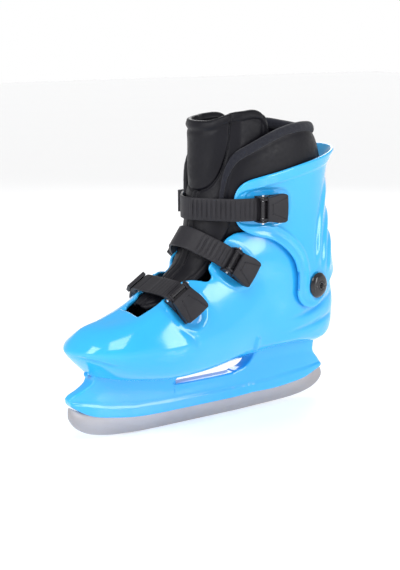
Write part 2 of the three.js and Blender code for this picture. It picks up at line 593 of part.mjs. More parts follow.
const hardware = Object.entries(STRAPS).flatMap(([name, strap]) => {
  const plane = strapPlane(strap);
  const wrapped = strap.mount === "cuff" ? [cuff, collar, wholeTongue] : [shell, wholeTongue];
  const path = tautPath(wrapped, plane);
  const axleAt = lengthAtHeight(path, strap.axle, false);
  const endAt = lengthAtHeight(path, strap.end, true);
  const centre = onPath(path, axleAt, AXLE.lift);
  const out = normalOn(path, axleAt);
  const ahead = new THREE.Vector2(-out.y, out.x);
  const local = (t, lift) => centre.clone().addScaledVector(ahead, t).addScaledVector(out, lift - AXLE.lift);
  const bothSides = ([near, far], make) => make(near, far).add(make(-far, -near));
  const bore = across(plane, centre, AXLE.radius + GAP, -20, 20);

  const buckleRivetAt = axleAt - RIVET.behindAxle;
  const strapRivetAt = endAt - RIVET.beforeEnd;
  const rivetBore = (long, top) => alongNormal(plane, path, long, -9, top, RIVET.shank + GAP);
  for (const long of [buckleRivetAt, strapRivetAt]) {
    if (strap.mount === "cuff") cuff = cuff.subtract(rivetBore(long, 2));
    else shell = shell.subtract(rivetBore(long, 2));
  }
  const rivet = (long, seat) => alongNormal(plane, path, long, RIVET.deep, seat + 0.5, RIVET.shank)
    .add(alongNormal(plane, path, long, seat, seat + RIVET.headHigh, RIVET.head));

  const flange = (l, r) => acrossSolid(plane, FLANGE_OUTLINE.map((p) => local(...p)), l, r);
  const baseLong = [axleAt - BASE_LONG.back, axleAt + BASE_LONG.ahead];
  const base = band(plane, path, baseLong, PLATE_LIFT, [-FLANGE[1], FLANGE[1]])
    .add(bothSides(FLANGE, flange))
    .subtract(bore)
    .subtract(rivetBore(buckleRivetAt, 6));
  const leverBand = (from, to, lift, sides) => band(plane, path, [axleAt - from, axleAt - to], lift, sides);
  const lever = leverBand(LEVER_LONG, NOSE_NOTCH, LEVER_LIFT, [-SKIRT[1], SKIRT[1]])
    .add(bothSides(HUB, (l, r) => leverBand(NOSE_NOTCH + 2, 0, NOSE_LIFT, [l, r])))
    .add(bothSides(SKIRT, (l, r) => leverBand(LEVER_LONG, NOSE_NOTCH, SKIRT_LIFT, [l, r])))
    .add(bothSides(HUB, (l, r) => across(plane, centre, HUB_RADIUS, l, r)))
    .subtract(bore);
  const pawl = acrossSolid(plane, PAWL_OUTLINE.map((p) => local(...p)), -PAWL_HALF, PAWL_HALF)
    .add(across(plane, centre, BARREL_RADIUS, -PAWL_HALF, PAWL_HALF))
    .subtract(bore);
  const strapFrom = axleAt - STRAP_TAIL;
  const toothedTo = THREE.MathUtils.lerp(axleAt, endAt, strap.toothed);
  const wide = [-STRAP_HALF, STRAP_HALF];
  const ladder = band(plane, path, [strapFrom, endAt], STRAP_LIFT, wide, [strapFrom + 2, toothedTo])
    .subtract(rivetBore(strapRivetAt, 12));
  const keeper = band(plane, path, [endAt - KEEPER.from, endAt - KEEPER.to], KEEPER.lift, wide);
  return [
    ["buckle_base_" + name, base, charcoalPlastic],
    ["buckle_lever_" + name, lever, charcoalPlastic],
    ["buckle_pawl_" + name, pawl, glossyBlack],
    ["lever_axle_" + name, across(plane, centre, AXLE.radius, -SKIRT[1], SKIRT[1]), chrome],
    ["ladder_strap_" + name, ladder, charcoalPlastic],
    ["strap_keeper_" + name, keeper, charcoalPlastic],
    ["buckle_rivet_" + name, rivet(buckleRivetAt, PLATE_LIFT[1] + GAP), steel],
    ["strap_rivet_" + name, rivet(strapRivetAt, STRAP_LIFT[1] + GAP), steel],
  ];
});

// ---- The assembly ----
add(skate, "lower_shell", shell, bluePlastic);
add(skate, "cuff", cuff, bluePlastic);
add(skate, "blade_holder", blade, bluePlastic);
add(skate, "runner", sideExtrusion(RUNNER_OUTLINE, -RUNNER_THICK / 2, RUNNER_THICK / 2), steel);
add(skate, "insole", loftRings([insoleBottom, insoleTop]), fabric);
add(skate, "liner_foot", liner, leather);
add(skate, "liner_collar", collar, leather);
add(skate, "tongue_foot", wholeTongue.intersect(below(TONGUE_FOOT_TOP)), leather);
add(skate, "tongue_shin", wholeTongue.subtract(below(TONGUE_SHIN_BOTTOM)), leather);
screws.forEach(([name, shape]) => add(skate, name, shape, steel));
[...bolts, ...hardware].forEach(([name, shape, material]) => add(skate, name, shape, material));

// The origin is under the middle of the whole skate, on the ice.
const box = new THREE.Box3().setFromObject(skate);
const centre = box.getCenter(new THREE.Vector3());
skate.position.set(-centre.x, -centre.y, -box.min.z);

export default skate;
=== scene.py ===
"""A hard-shell ice skate for the left foot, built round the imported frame. Tables are in millimetres."""
import json
import math

import bmesh
import bpy
import numpy as np
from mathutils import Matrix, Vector

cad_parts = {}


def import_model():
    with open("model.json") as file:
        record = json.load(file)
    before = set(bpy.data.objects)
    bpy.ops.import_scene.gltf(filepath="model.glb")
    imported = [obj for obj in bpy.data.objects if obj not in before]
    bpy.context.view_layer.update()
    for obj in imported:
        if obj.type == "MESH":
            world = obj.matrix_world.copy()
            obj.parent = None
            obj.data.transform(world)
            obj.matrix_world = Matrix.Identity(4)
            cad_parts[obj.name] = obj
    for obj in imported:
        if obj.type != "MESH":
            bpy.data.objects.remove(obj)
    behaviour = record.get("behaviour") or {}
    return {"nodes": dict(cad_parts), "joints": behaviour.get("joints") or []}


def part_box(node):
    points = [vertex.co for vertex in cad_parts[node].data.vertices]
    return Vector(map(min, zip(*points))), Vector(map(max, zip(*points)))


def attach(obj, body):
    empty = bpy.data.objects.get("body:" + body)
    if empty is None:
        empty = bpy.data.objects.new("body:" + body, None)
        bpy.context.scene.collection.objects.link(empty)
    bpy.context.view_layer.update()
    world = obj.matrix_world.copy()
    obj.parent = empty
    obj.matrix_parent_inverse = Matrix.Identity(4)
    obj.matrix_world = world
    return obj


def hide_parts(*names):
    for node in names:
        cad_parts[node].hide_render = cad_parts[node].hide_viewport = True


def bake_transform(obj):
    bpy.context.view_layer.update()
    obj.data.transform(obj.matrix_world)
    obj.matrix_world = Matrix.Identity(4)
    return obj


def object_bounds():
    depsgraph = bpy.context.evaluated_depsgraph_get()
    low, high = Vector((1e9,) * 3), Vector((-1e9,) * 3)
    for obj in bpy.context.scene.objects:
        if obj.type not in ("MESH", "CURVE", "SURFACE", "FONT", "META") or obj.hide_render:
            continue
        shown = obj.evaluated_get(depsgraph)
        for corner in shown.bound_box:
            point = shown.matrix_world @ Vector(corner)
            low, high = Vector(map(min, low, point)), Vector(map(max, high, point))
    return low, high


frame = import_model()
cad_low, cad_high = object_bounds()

MM = 0.001
RUNNER_LOW, RUNNER_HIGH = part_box("runner")
RUNNER_BACK = -144.0
SHIFT = np.array([RUNNER_LOW.x - RUNNER_BACK * MM, (RUNNER_LOW.y + RUNNER_HIGH.y) / 2, 0.0])
HALVE = 1.0
JOINTS = {j["name"]: j for j in frame["joints"]}


# ---- Small tools ----
def world(points):
    """Points in millimetres about the runner's middle, as metres in the frame."""
    return np.asarray(points, float) * MM + SHIFT


def catmull(points, count, closed=False):
    """count points along a Catmull-Rom curve through the rows of points, evenly spaced in parameter."""
    p = np.asarray(points, float)
    n = len(p)
    t = np.linspace(0, n if closed else n - 1, count, endpoint=not closed)
    k = np.minimum(t.astype(int), n - 1 if closed else n - 2)
    f = (t - k)[:, None]
    at = (lambda i: p[i % n]) if closed else (lambda i: p[np.clip(i, 0, n - 1)])
    a, b, c, d = at(k - 1), at(k), at(k + 1), at(k + 2)
    return 0.5 * (2 * b + (c - a) * f + (2 * a - 5 * b + 4 * c - d) * f**2 + (3 * b - a - 3 * c + d) * f**3)


def even(points, count, closed=False):
    """count points spaced evenly by length along a polyline."""
    p = np.asarray(points, float)
    if closed:
        p = np.vstack([p, p[:1]])
    long = np.r_[0, np.cumsum(np.linalg.norm(np.diff(p, axis=0), axis=1))]
    s = np.linspace(0, long[-1], count, endpoint=not closed)
    return np.stack([np.interp(s, long, p[:, i]) for i in range(p.shape[1])], 1)


def curve(points, count, fine=300):
    """count points spaced evenly by length along a smooth curve."""
    return even(catmull(points, fine), count)


def unit(v):
    return v / np.maximum(np.linalg.norm(v, axis=-1, keepdims=True), 1e-12)


def smooth(x, low, high):
    t = np.clip((np.asarray(x, float) - low) / (high - low), 0, 1)
    return t * t * (3 - 2 * t)


def line_distance(p, line):
    """Distance of each point from a polyline, and how far along it the nearest place is, from 0 to 1."""
    p = np.asarray(p, float)
    line = np.asarray(line, float)
    best = np.full(p.shape[:-1], 1e9)
    where = np.zeros(p.shape[:-1])
    steps = np.linalg.norm(np.diff(line, axis=0), axis=1)
    total = steps.sum()
    done = 0.0
    for a, b, step in zip(line[:-1], line[1:], steps):
        t = np.clip(((p - a) @ (b - a)) / max(step * step, 1e-12), 0, 1)
        d = np.linalg.norm(p - (a + t[..., None] * (b - a)), axis=-1)
        near = d < best
        best = np.where(near, d, best)
        where = np.where(near, (done + t * step) / total, where)
        done += step
    return best, where


def groove(p, line, width, depth, fade=0.15):
    """A soft groove along a line, fading out at both ends."""
    d, s = line_distance(p, line)
    ends = smooth(s, 0, fade) * (1 - smooth(s, 1 - fade, 1)) if fade else 1.0
    return -depth * np.exp(-((d / width) ** 2)) * ends


def make(name, verts, faces, material=None, body=None, replaces=(), weld=2e-6, sharp=None,
         painted_groove_shade=None):
    """A new piece from points in metres. Its seams are welded and its faces turned outwards. Edges steeper
    than sharp, in degrees, stay sharp. The last argument is how deep in a groove each point lies, for painted
    shade in the colour."""
    mesh = bpy.data.meshes.new(name)
    mesh.from_pydata([tuple(v) for v in verts], [], [tuple(int(i) for i in f) for f in faces])
    mesh.validate()
    obj = bpy.data.objects.new(name, mesh)
    bpy.context.scene.collection.objects.link(obj)
    mesh.shade_smooth()
    if body:
        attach(obj, body)
    if replaces:
        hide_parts(*replaces)
    if painted_groove_shade is not None:
        attribute = mesh.attributes.new("painted_groove_shade", "FLOAT", "POINT")
        attribute.data.foreach_set("value", np.asarray(painted_groove_shade, np.float32).ravel())
    if weld:
        bm = bmesh.new()
        bm.from_mesh(mesh)
        bmesh.ops.remove_doubles(bm, verts=bm.verts, dist=weld)
        bmesh.ops.dissolve_degenerate(bm, dist=weld, edges=bm.edges)
        bmesh.ops.delete(bm, geom=[v for v in bm.verts if not v.link_faces], context="VERTS")
        bmesh.ops.recalc_face_normals(bm, faces=bm.faces)
        bm.to_mesh(mesh)
        bm.free()
        mesh.shade_smooth()
    if sharp:
        mesh.set_sharp_from_angle(angle=math.radians(sharp))
    return paint(obj, material)


def paint(obj, material):
    obj.data.materials.clear()
    if material:
        obj.data.materials.append(material)
    return obj


def grid_faces(rows, columns, closed_rows=False, closed_columns=False, start=0):
    """Quads of a grid whose point (r, c) is number start + r * columns + c."""
    r = np.arange(rows if closed_rows else rows - 1)
    c = np.arange(columns if closed_columns else columns - 1)
    r, c = (a.ravel() for a in np.meshgrid(r, c, indexing="ij"))
    r2, c2 = (r + 1) % rows, (c + 1) % columns
    return np.stack([r * columns + c, r * columns + c2, r2 * columns + c2, r2 * columns + c], 1) + start


def round_edge(edge, normal, away, wall, rim):
    """Rows over a sheet's edge, from its outer face to its inner one."""
    middle = edge - normal * wall / 2
    turns = [math.pi * k / (rim + 1) for k in range(1, rim + 1)]
    return [middle + (wall / 2) * (math.cos(a) * normal + math.sin(a) * away) for a in turns]


def thick_rows(p, n, wall, rim=5):
    """The rows of a sheet with thickness: up the outside, over a round edge and down the inside."""
    away = p[-1] - p[-2]
    away = unit(away - (away * n[-1]).sum(-1, keepdims=True) * n[-1])
    return np.concatenate([p, round_edge(p[-1], n[-1], away, wall, rim), (p - n * wall)[::-1]])


# ---- Materials ----
def connect(tree, node, inputs):
    """Sets a node's inputs, each to a number, a colour or another node's output."""
    for socket, value in inputs.items():
        if isinstance(value, bpy.types.NodeSocket):
            tree.links.new(value, node.inputs[socket])
        else:
            node.inputs[socket].default_value = value


def add(tree, kind, inputs=(), **settings):
    node = tree.nodes.new("ShaderNode" + kind)
    for key, value in settings.items():
        setattr(node, key, value)
    connect(tree, node, dict(inputs))
    return node


def coords(tree, scale=(1, 1, 1)):
    place = add(tree, "TexCoord").outputs["Object"]
    return add(tree, "Mapping", {"Vector": place, "Scale": scale}).outputs["Vector"]


def noise(tree, place, scale, detail, rough=0.5):
    inputs = {"Vector": place, "Scale": scale, "Detail": detail, "Roughness": rough}
    return add(tree, "TexNoise", inputs).outputs["Fac"]


def ramp(tree, value, first, last, low=0.3, high=0.7):
    inputs = {"Value": value, "From Min": low, "From Max": high, "To Min": first, "To Max": last}
    return add(tree, "MapRange", inputs).outputs["Result"]


def mix(tree, factor, first, last):
    first, last = ((*c, 1) if isinstance(c, tuple) else c for c in (first, last))
    return add(tree, "Mix", {0: factor, 6: first, 7: last}, data_type="RGBA").outputs[2]


def bump(tree, height, strength, distance):
    inputs = {"Height": height, "Strength": strength, "Distance": distance}
    return add(tree, "Bump", inputs).outputs["Normal"]


def brushed(tree, place):
    return noise(tree, coords(tree, (60, 900, 900)), 3, 6, 0.6)


def weave(tree, place):
    inputs = {"Vector": place, "Scale": 520.0, "Distortion": 1.2}
    waves = [add(tree, "TexWave", inputs, bands_direction=way).outputs["Fac"] for way in "XZ"]
    return add(tree, "Math", dict(enumerate(waves)), operation="MULTIPLY").outputs[0]


def surface(name, first, last, tint, rough=None, grain=None, **sockets):
    """A material between two colours. A pattern is a noise's scale and detail, or a function. tint is a
    pattern, rough a pattern with its lowest and highest value, grain one with its strength and depth."""
    material = bpy.data.materials.new(name)
    material.use_nodes = True
    tree = material.node_tree
    place = coords(tree)
    pattern = lambda p: p(tree, place) if callable(p) else noise(tree, place, *p)
    inputs = {key.replace("_", " "): value for key, value in sockets.items()}
    inputs["Base Color"] = mix(tree, pattern(tint), first, last)
    if rough:
        inputs["Roughness"] = ramp(tree, pattern(rough[0]), *rough[1:])
    if grain:
        inputs["Normal"] = bump(tree, pattern(grain[0]), *grain[1:])
    connect(tree, tree.nodes["Principled BSDF"], inputs)
    return material


def paint_groove_shade(material, deep):
    """Paints shade into the plastic's colour: turns it towards a darker one where a point lies in a groove.
    """
    tree = material.node_tree
    colour = tree.nodes["Principled BSDF"].inputs["Base Color"]
    painted_groove_shade = add(tree, "Attribute", attribute_name="painted_groove_shade").outputs["Fac"]
    tree.links.new(mix(tree, painted_groove_shade, colour.links[0].from_socket, deep), colour)


def add_pebbles(material):
    """The leather's fine pebbles, laid under its broader creases."""
    tree = material.node_tree
    cells = add(tree, "TexVoronoi", {"Vector": coords(tree), "Scale": 1150.0}, feature="DISTANCE_TO_EDGE")
    pebble = ramp(tree, cells.outputs["Distance"], 0.0, 1.0, 0.0, 0.35)
    creases = tree.nodes["Principled BSDF"].inputs["Normal"].links[0].from_node
    tree.links.new(bump(tree, pebble, 0.14, 0.0002), creases.inputs["Normal"])


def metal(name, first, last, rough):
    return surface(name, first, last, (200, 3), ((700, 4), rough, rough * 1.8), ((1400, 2), 0.05, 0.0002),
                   Metallic=1.0)


BLUE = surface("blue_plastic", (0.024, 0.42, 0.88), (0.038, 0.47, 0.94), (14, 2), ((90, 4), 0.10, 0.17),
               ((420, 2), 0.03, 0.0004), IOR=1.5, Coat_Weight=0.35, Coat_Roughness=0.05)
# Painted shade: the blue turns towards navy in the moulded grooves, where shade would fall.
paint_groove_shade(BLUE, (0.007, 0.23, 0.78))
STEEL = surface("runner_steel", (0.36, 0.345, 0.355), (0.45, 0.43, 0.44), (25, 3), (brushed, 0.34, 0.5),
                (brushed, 0.12, 0.0002), Metallic=1.0)
CHARCOAL = surface("charcoal_plastic", (0.015, 0.0145, 0.018), (0.027, 0.026, 0.031), (60, 4),
                   ((1600, 3), 0.42, 0.58), ((1600, 3), 0.25, 0.0002), Specular_IOR_Level=0.24)
GLOSS = surface("black_gloss", (0.010, 0.010, 0.012), (0.022, 0.020, 0.024), (80, 3), ((300, 4), 0.08, 0.2),
                ((900, 2), 0.04, 0.0002))
CHROME = metal("chrome", (0.72, 0.72, 0.75), (0.82, 0.82, 0.84), 0.08)
ZINC = metal("zinc", (0.46, 0.46, 0.48), (0.6, 0.6, 0.62), 0.25)
LEATHER = surface("black_leather", (0.0035, 0.0034, 0.0055), (0.008, 0.0078, 0.012), (45, 4),
                  ((260, 3), 0.36, 0.52), ((150, 3), 0.12, 0.0006), Specular_IOR_Level=0.2)
add_pebbles(LEATHER)
THREAD = surface("thread", (0.006, 0.006, 0.009), (0.02, 0.02, 0.026), (900, 3), ((1500, 2), 0.6, 0.8),
                 ((3000, 2), 0.4, 0.0001))
KNIT = surface("black_knit", (0.004, 0.0045, 0.011), (0.013, 0.015, 0.028), weave, ((400, 3), 0.85, 1.0),
               (weave, 0.5, 0.0004), Sheen_Weight=0.12, Sheen_Roughness=0.5)


# ---- The boot's skin ----
TOE_SWING = 1.0
SHELL_WALL = 3.0
# Rows of the net: no edge lies below the first, and the liner begins at the second.
LOWEST_EDGE = 3.0
LINER_FIRST_ROW = 0.62
BOOT_ROWS = [
    # the edge of the keel, where the blade holder begins
    [(123, 0, 59.8), (116, 5, 58), (96, 8, 54.5), (57, 8.5, 47.5), (12, 8.5, 45), (-35, 8.5, 51),
     (-81, 8.5, 57.3), (-116, 7, 57), (-127, 0, 56)],
    # the sole
    [(124, 0, 60.7), (117, 17, 59.5), (97, 29, 56.4), (58, 36, 53.6), (12, 33, 55.6),
     (-35, 29, 62.5), (-82, 31, 65), (-118, 24, 61), (-131, 0, 58.8)],
    # the rim
    [(141, 0, 78), (132, 25, 77), (108, 42, 71), (62, 48, 65), (12, 42, 65),
     (-38, 36, 72), (-88, 37, 74), (-129, 27, 71), (-143, 0, 67)],
    # the widest line
    [(142, 0, 86), (133, 28, 87), (108, 46, 86), (60, 52, 85), (10, 46, 88),
     (-40, 40, 95), (-90, 40, 98), (-132, 27, 98), (-145.5, 0, 98)],
    # the shoulder
    [(129, 0, 100.5), (122, 21, 101), (101, 36, 104), (62, 41, 112), (16, 39, 121),
     (-34, 38, 128), (-88, 39.5, 122), (-130, 25, 120), (-143, 0, 118)],
    # above the instep
    [(108, 0, 107), (102, 13, 108.5), (84, 24, 114.5), (55, 29, 127), (22, 31, 138),
     (-12, 35, 153), (-75, 38, 152), (-121, 24, 148), (-135, 0, 146)],
    # the crest, most of which the opening takes away
    [(84, 0, 115), (80, 4, 117.5), (71, 8, 126), (52, 10, 142), (29, 14, 161),
     (6, 23, 184), (-60, 37, 186), (-111, 23, 180), (-127, 0, 178)],
]
OPENING_EDGE = [
    (91, 110.5), (81, 114.5), (73, 118), (64, 122.5), (54, 128.5), (45, 133.5), (36, 135.5), (27, 134.5),
    (20, 133), (15.5, 134.5), (14, 138), (15.5, 142), (14.5, 146), (9, 151.5), (2, 160), (-4, 167),
    (-13, 171.5), (-25, 172.5), (-42, 170), (-66, 163), (-92, 155), (-114, 149), (-137, 145),
]


def middle_y(x):
    """Where the boot's middle line lies: the toe leans to the inner side."""
    return -TOE_SWING * smooth(x, 10, 142)


def swing(points):
    points = np.array(points, float)
    points[..., 1] += middle_y(points[..., 0])
    return points


def inner_side(outer):
    """The inner twin of places on the outer side: narrower at the toe, narrower and lower at the instep."""
    x, y, z = np.moveaxis(np.array(outer, float), -1, 0)
    instep = smooth(z, 90, 108) * smooth(x, 10, 60)
    share = 0.97 - 0.32 * smooth(x, 85, 140) - 0.2 * instep
    return np.stack([x, -share * y, z - 8 * instep], -1)


def whole_loop(half):
    return np.vstack([swing(half), swing(inner_side(half)[1:-1][::-1])])


BOOT_NET = np.array([whole_loop(row) for row in BOOT_ROWS])


def net_point(u, v):
    """Points of the smooth surface through the net. u goes round the boot, v up it."""
    rows, columns = BOOT_NET.shape[:2]
    u, v = np.broadcast_arrays(np.asarray(u, float), np.asarray(v, float))
    c = np.floor(u).astype(int)
    r = np.clip(np.floor(v).astype(int), 0, rows - 2)

    def blend(p, t):
        t = t[..., None]
        return 0.5 * (2 * p[1] + (p[2] - p[0]) * t + (2 * p[0] - 5 * p[1] + 4 * p[2] - p[3]) * t**2
                      + (3 * p[1] - p[0] - 3 * p[2] + p[3]) * t**3)

    def in_row(k):
        row = np.clip(r + k, 0, rows - 1)
        return blend([BOOT_NET[row, (c + i) % columns] for i in (-1, 0, 1, 2)], u - c)

    return blend([in_row(k) for k in (-1, 0, 1, 2)], v - r)


def net_normal(u, v):
    step = 0.02
    top = len(BOOT_NET) - 1
    around = net_point((u + step) % 16, v) - net_point((u - step) % 16, v)
    up = net_point(u, np.minimum(v + step, top)) - net_point(u, np.maximum(v - step, 0))
    return unit(np.cross(around, up))


def edge_on_net(edge, count, inner=False):
    """(u, v) of a line on one side of the boot, given from the side as [x, z]. It begins with a straight
    run across the toe."""
    grid_u, grid_v = np.meshgrid(np.linspace(0, 8, 481), np.linspace(LOWEST_EDGE, 6, 361), indexing="ij")
    turn = lambda u: (16 - u) % 16 if inner else u
    p = net_point(turn(grid_u), grid_v)
    flat = p[..., [0, 2]].reshape(-1, 2)
    found = [np.argmin(((flat - q) ** 2).sum(1)) for q in curve(edge, 300, 600)]
    u, v = grid_u.ravel()[found], grid_v.ravel()[found]
    before = np.linspace(0, u[0], 12, endpoint=False)
    high = np.linspace(v[0] - 0.3, 6, 200)
    reach = [net_point(turn(np.full(200, q)), high)[:, 0] for q in before]
    v = np.r_[[high[np.argmin(abs(x - edge[0][0]))] for x in reach], v]
    u = np.r_[before, u]
    place = net_point(turn(u), v)
    long = np.r_[0, np.cumsum(np.linalg.norm(np.diff(place, axis=0), axis=1))]
    step = np.linspace(0, long[-1], count)
    u, v = np.interp(step, long, u), np.interp(step, long, v)
    keep = np.hanning(7) / np.hanning(7).sum()
    pad = lambda a: np.convolve(np.r_[[a[0]] * 3, a, [a[-1]] * 3], keep, "valid")
    u, v = pad(u), pad(v)
    u[0], u[-1] = 0, 8
    return u, v


def boot_grid(edge, columns, rows, first_row=0.0):
    """A grid on the boot's skin, from first_row up to an edge, as u and v of each point."""
    u, v = edge_on_net(edge, columns // 2 + 1)
    inner_u, inner_v = edge_on_net(edge, columns // 2 + 1, True)
    u, v = np.r_[u, 16 - inner_u[-2:0:-1]], np.r_[v, inner_v[-2:0:-1]]
    wide = np.hanning(61) / np.hanning(61).sum()
    level = np.linspace(0, 16, len(u), endpoint=False)
    off = u - level
    base = level + np.convolve(np.r_[off[-30:], off, off[:30]], wide, "valid")
    t = np.linspace(0, 1, rows)[:, None]
    uu = base + (u - base) * t**2
    vv = first_row + (v - first_row) * t
    return uu % 16, vv


def mirrored(line):
    """A line on the outer side, [x, y, z], and its twin on the inner side."""
    return swing(line), swing(inner_side(line))


def boot_relief(p):
    """How far the moulded details stand out of the boot's skin, in millimetres."""
    high = np.zeros(p.shape[:-1])
    crease = [(141.5, 0, 82), (138, 16, 80), (129, 30, 76.5), (115, 42, 72), (98, 48, 68), (78, 51, 65.5)]
    heel_low = [(-52, 40, 72), (-75, 40, 76), (-100, 38, 80), (-126, 30, 85), (-143, 8, 88)]
    heel_high = [(-62, 40, 88), (-84, 40, 91), (-106, 37, 97), (-128, 28, 105), (-144, 4, 112)]
    fold = [(62, 45, 104), (52, 49, 96), (44, 50, 86), (39, 49, 76)]
    for line, width, depth, fade in (
        (crease, 1.5, 1.0, 0.25), (heel_low, 2.2, 1.3, 0.3), (heel_high, 2.6, 1.3, 0.3),
        (fold, 3.5, 0.9, 0.35),
    ):
        for side in mirrored(line):
            high += groove(p, side, width, depth, fade)
    for line in ([(-45, 41, 66), (-80, 41, 69), (-115, 35, 76), (-143, 8, 80)],
                 [(-70, 41, 82), (-100, 38, 88), (-126, 30, 94), (-144, 5, 100)]):
        for side in mirrored(line):
            high -= groove(p, side, 5.0, 0.9, 0.3)
    for (x, z), (long, wide), tilt, deep in (
        ((-8, 146), (24, 17), 0.62, 1.3), ((46, 116), (21, 17), 0.95, 1.5),
    ):
        dx, dz = p[..., 0] - x, p[..., 2] - z
        a = dx * math.cos(tilt) + dz * math.sin(tilt)
        b = -dx * math.sin(tilt) + dz * math.cos(tilt)
        inside = np.sqrt((a / long) ** 2 + (b / wide) ** 2)
        high -= deep * (1 - smooth(inside, 0.72, 1.0))
        high += 0.5 * np.exp(-(((inside - 1.06) / 0.07) ** 2))
    for sign in (1, -1):
        tab = np.sqrt(((p[..., 0] + 35 - 0.12 * (p[..., 2] - 70)) / 3.6) ** 2 + ((p[..., 2] - 71) / 8.5) ** 2)
        high += np.where(p[..., 1] * sign > 0, 2.3 * (1 - smooth(tab, 0.6, 1.0)), 0)
    return high


def build_shell():
    columns, rows = int(520 * HALVE), int(170 * HALVE)
    columns -= columns % 2
    u, v = boot_grid(OPENING_EDGE, columns, rows)
    p, n = net_point(u, v), net_normal(u, v)
    relief = boot_relief(p) * smooth(v, 0.9, 1.25)
    p = p + n * relief[..., None]
    keel = p[0].copy()
    keel[:, 1] = middle_y(keel[:, 0])
    stack = np.concatenate([keel[None], thick_rows(p, n, SHELL_WALL), (keel + [0, 0, SHELL_WALL])[None]])
    # Painted shade: the deeper a groove in the shell's relief, the darker its blue is painted.
    painted_groove_shade = np.zeros((len(stack), columns))
    painted_groove_shade[1:rows + 1] = np.clip(-relief / 2.6, 0, 1) * 0.55
    make("shell_skin", world(stack.reshape(-1, 3)), grid_faces(len(stack), columns, False, True), BLUE,
         "boot", ("lower_shell",), painted_groove_shade=painted_groove_shade)


# ---- The blade holder ----
HOLDER_LOW = [(-54, 15), (-28, 14), (36, 14)]
REAR_LOW = [(-141, 29.5), (-139.5, 26.5), (-126, 21.5), (-113, 18), (-84, 15), (-54, 15)]
REAR_TOP = [(-141, 29.5), (-139, 33), (-135, 38), (-130.5, 43), (-128.5, 47), (-128, 51.5), (-128, 55.5),
            (-122, 59),
            (-106, 60), (-81, 60.5), (-54, 59)]
FRONT_LOW = [(36, 14), (51, 14), (76, 15), (98, 18), (120, 22.5), (134, 29), (142.5, 35.5), (145, 41)]
FRONT_TOP = [(36, 47), (60, 51), (101, 58), (115, 61), (121, 60), (121.5, 56.5), (124.5, 52), (133, 47.5),
             (141, 44.4),
             (145, 41)]
WINDOW_LOW = [(-54, 54), (-52.5, 49.5), (-49, 45), (-43, 41.5), (-34, 39.3), (-24, 38), (33, 38.3), (36, 42)]
WINDOW_TOP = [(-54, 54), (-40, 52.3), (-15, 47.5), (8, 46), (30, 45.6), (36, 42)]
KEEL_TOP = [(-54, 59), (-15, 51), (10, 48.5), (36, 47)]
EDGE_ROUND = 2.2
HOLDER_HALF = 6.6


def holder_half_width(x, z, distance):
    """Half the holder's width at each place of its side."""
    border = np.interp(x, [-139, -106, -62, -26, 54, 78, 104, 143], [31, 27, 24.5, 23.5, 24.2, 25.2, 29, 38])
    flare = np.interp(x, [-130, -106, -81, -54, -14, 36, 101, 126], [54, 57, 57, 56, 47, 45, 55, 59])
    half = HOLDER_HALF + 0.9 * (1 - smooth(z - border, -0.7, 0.7))
    half = half - 0.45 * np.exp(-(((z - border - 1.2) / 0.8) ** 2))
    half = half + 2.6 * smooth(z - flare, -14, 1)
    taper = smooth(x, 146.5, 112) * smooth(x, -143, -118)
    half = half - 1.6 * (1 - taper)
    inner = EDGE_ROUND - np.minimum(distance, EDGE_ROUND)
    return half - EDGE_ROUND + np.sqrt(np.maximum(EDGE_ROUND**2 - inner**2, 0))


def build_holder():
    tall, wide = 44, 90
    rows = 30
    window_low = curve(WINDOW_LOW, wide)
    window_top = curve(WINDOW_TOP, wide)
    bottom = curve(HOLDER_LOW, wide)
    eased = lambda count: (1 - np.cos(np.linspace(0, math.pi, count))) / 2
    t = eased(rows)
    under = bottom + (window_low - bottom) * t[:, None, None]
    over_top = curve(KEEL_TOP, wide)
    over_rows = 10
    t = eased(over_rows)
    over = window_top + (over_top - window_top) * t[:, None, None]

    def tower(low, top, pole, at_end, count):
        low, top = curve(low, count), curve(top, count)
        end = -1 if at_end else 0
        share = (pole[1] - low[end][1]) / (top[end][1] - low[end][1])
        t = np.r_[share * eased(rows), share + (1 - share) * eased(over_rows)[1:]]
        return low + (top - low) * t[:, None, None]

    rear = tower(REAR_LOW, REAR_TOP, WINDOW_LOW[0], True, tall)
    front = tower(FRONT_LOW, FRONT_TOP, WINDOW_LOW[-1], False, 70)
    outline = np.vstack([
        curve(REAR_LOW, 60, 200), curve(HOLDER_LOW, 10, 20), curve(FRONT_LOW, 70, 200),
        curve(FRONT_TOP, 70, 200)[::-1], curve(KEEL_TOP, 30, 50)[::-1],
        curve(REAR_TOP, 60, 200)[::-1],
    ])
    hole = np.vstack([window_low, window_top[::-1]])
    verts, faces = [], []
    for patch in (rear, under, over, front):
        distance = np.minimum(line_distance(patch, outline)[0], line_distance(patch, hole)[0])
        half = holder_half_width(patch[..., 0], patch[..., 1], distance)
        side = lambda s: np.stack([patch[..., 0], s * half, patch[..., 1]], -1)
        ring = np.concatenate([side(1), side(-1)[::-1]])
        start = sum(len(v) for v in verts)
        verts.append(ring.reshape(-1, 3))
        faces.append(grid_faces(ring.shape[0], ring.shape[1], True, False, start))
    verts = world(np.vstack(verts))
    make("blade_holder_skin", verts, np.vstack(faces), BLUE, "boot", ("blade_holder",), 4e-6,
         painted_groove_shade=np.zeros(len(verts)))


# ---- The runner ----
RUNNER_EDGE = [(143, 33), (143, 24), (139.5, 17.5), (134.5, 12.5), (127, 8.2), (117, 5), (102, 2.3),
               (82, 0.7), (65, 0.15),
               (49, 0), (-30, 0), (-44, 0.15), (-58, 0.5), (-92, 1.2), (-112, 2.6), (-126, 5.2), (-136, 9),
               (-142, 14), (-144, 19),
               (-142.5, 24.5)]


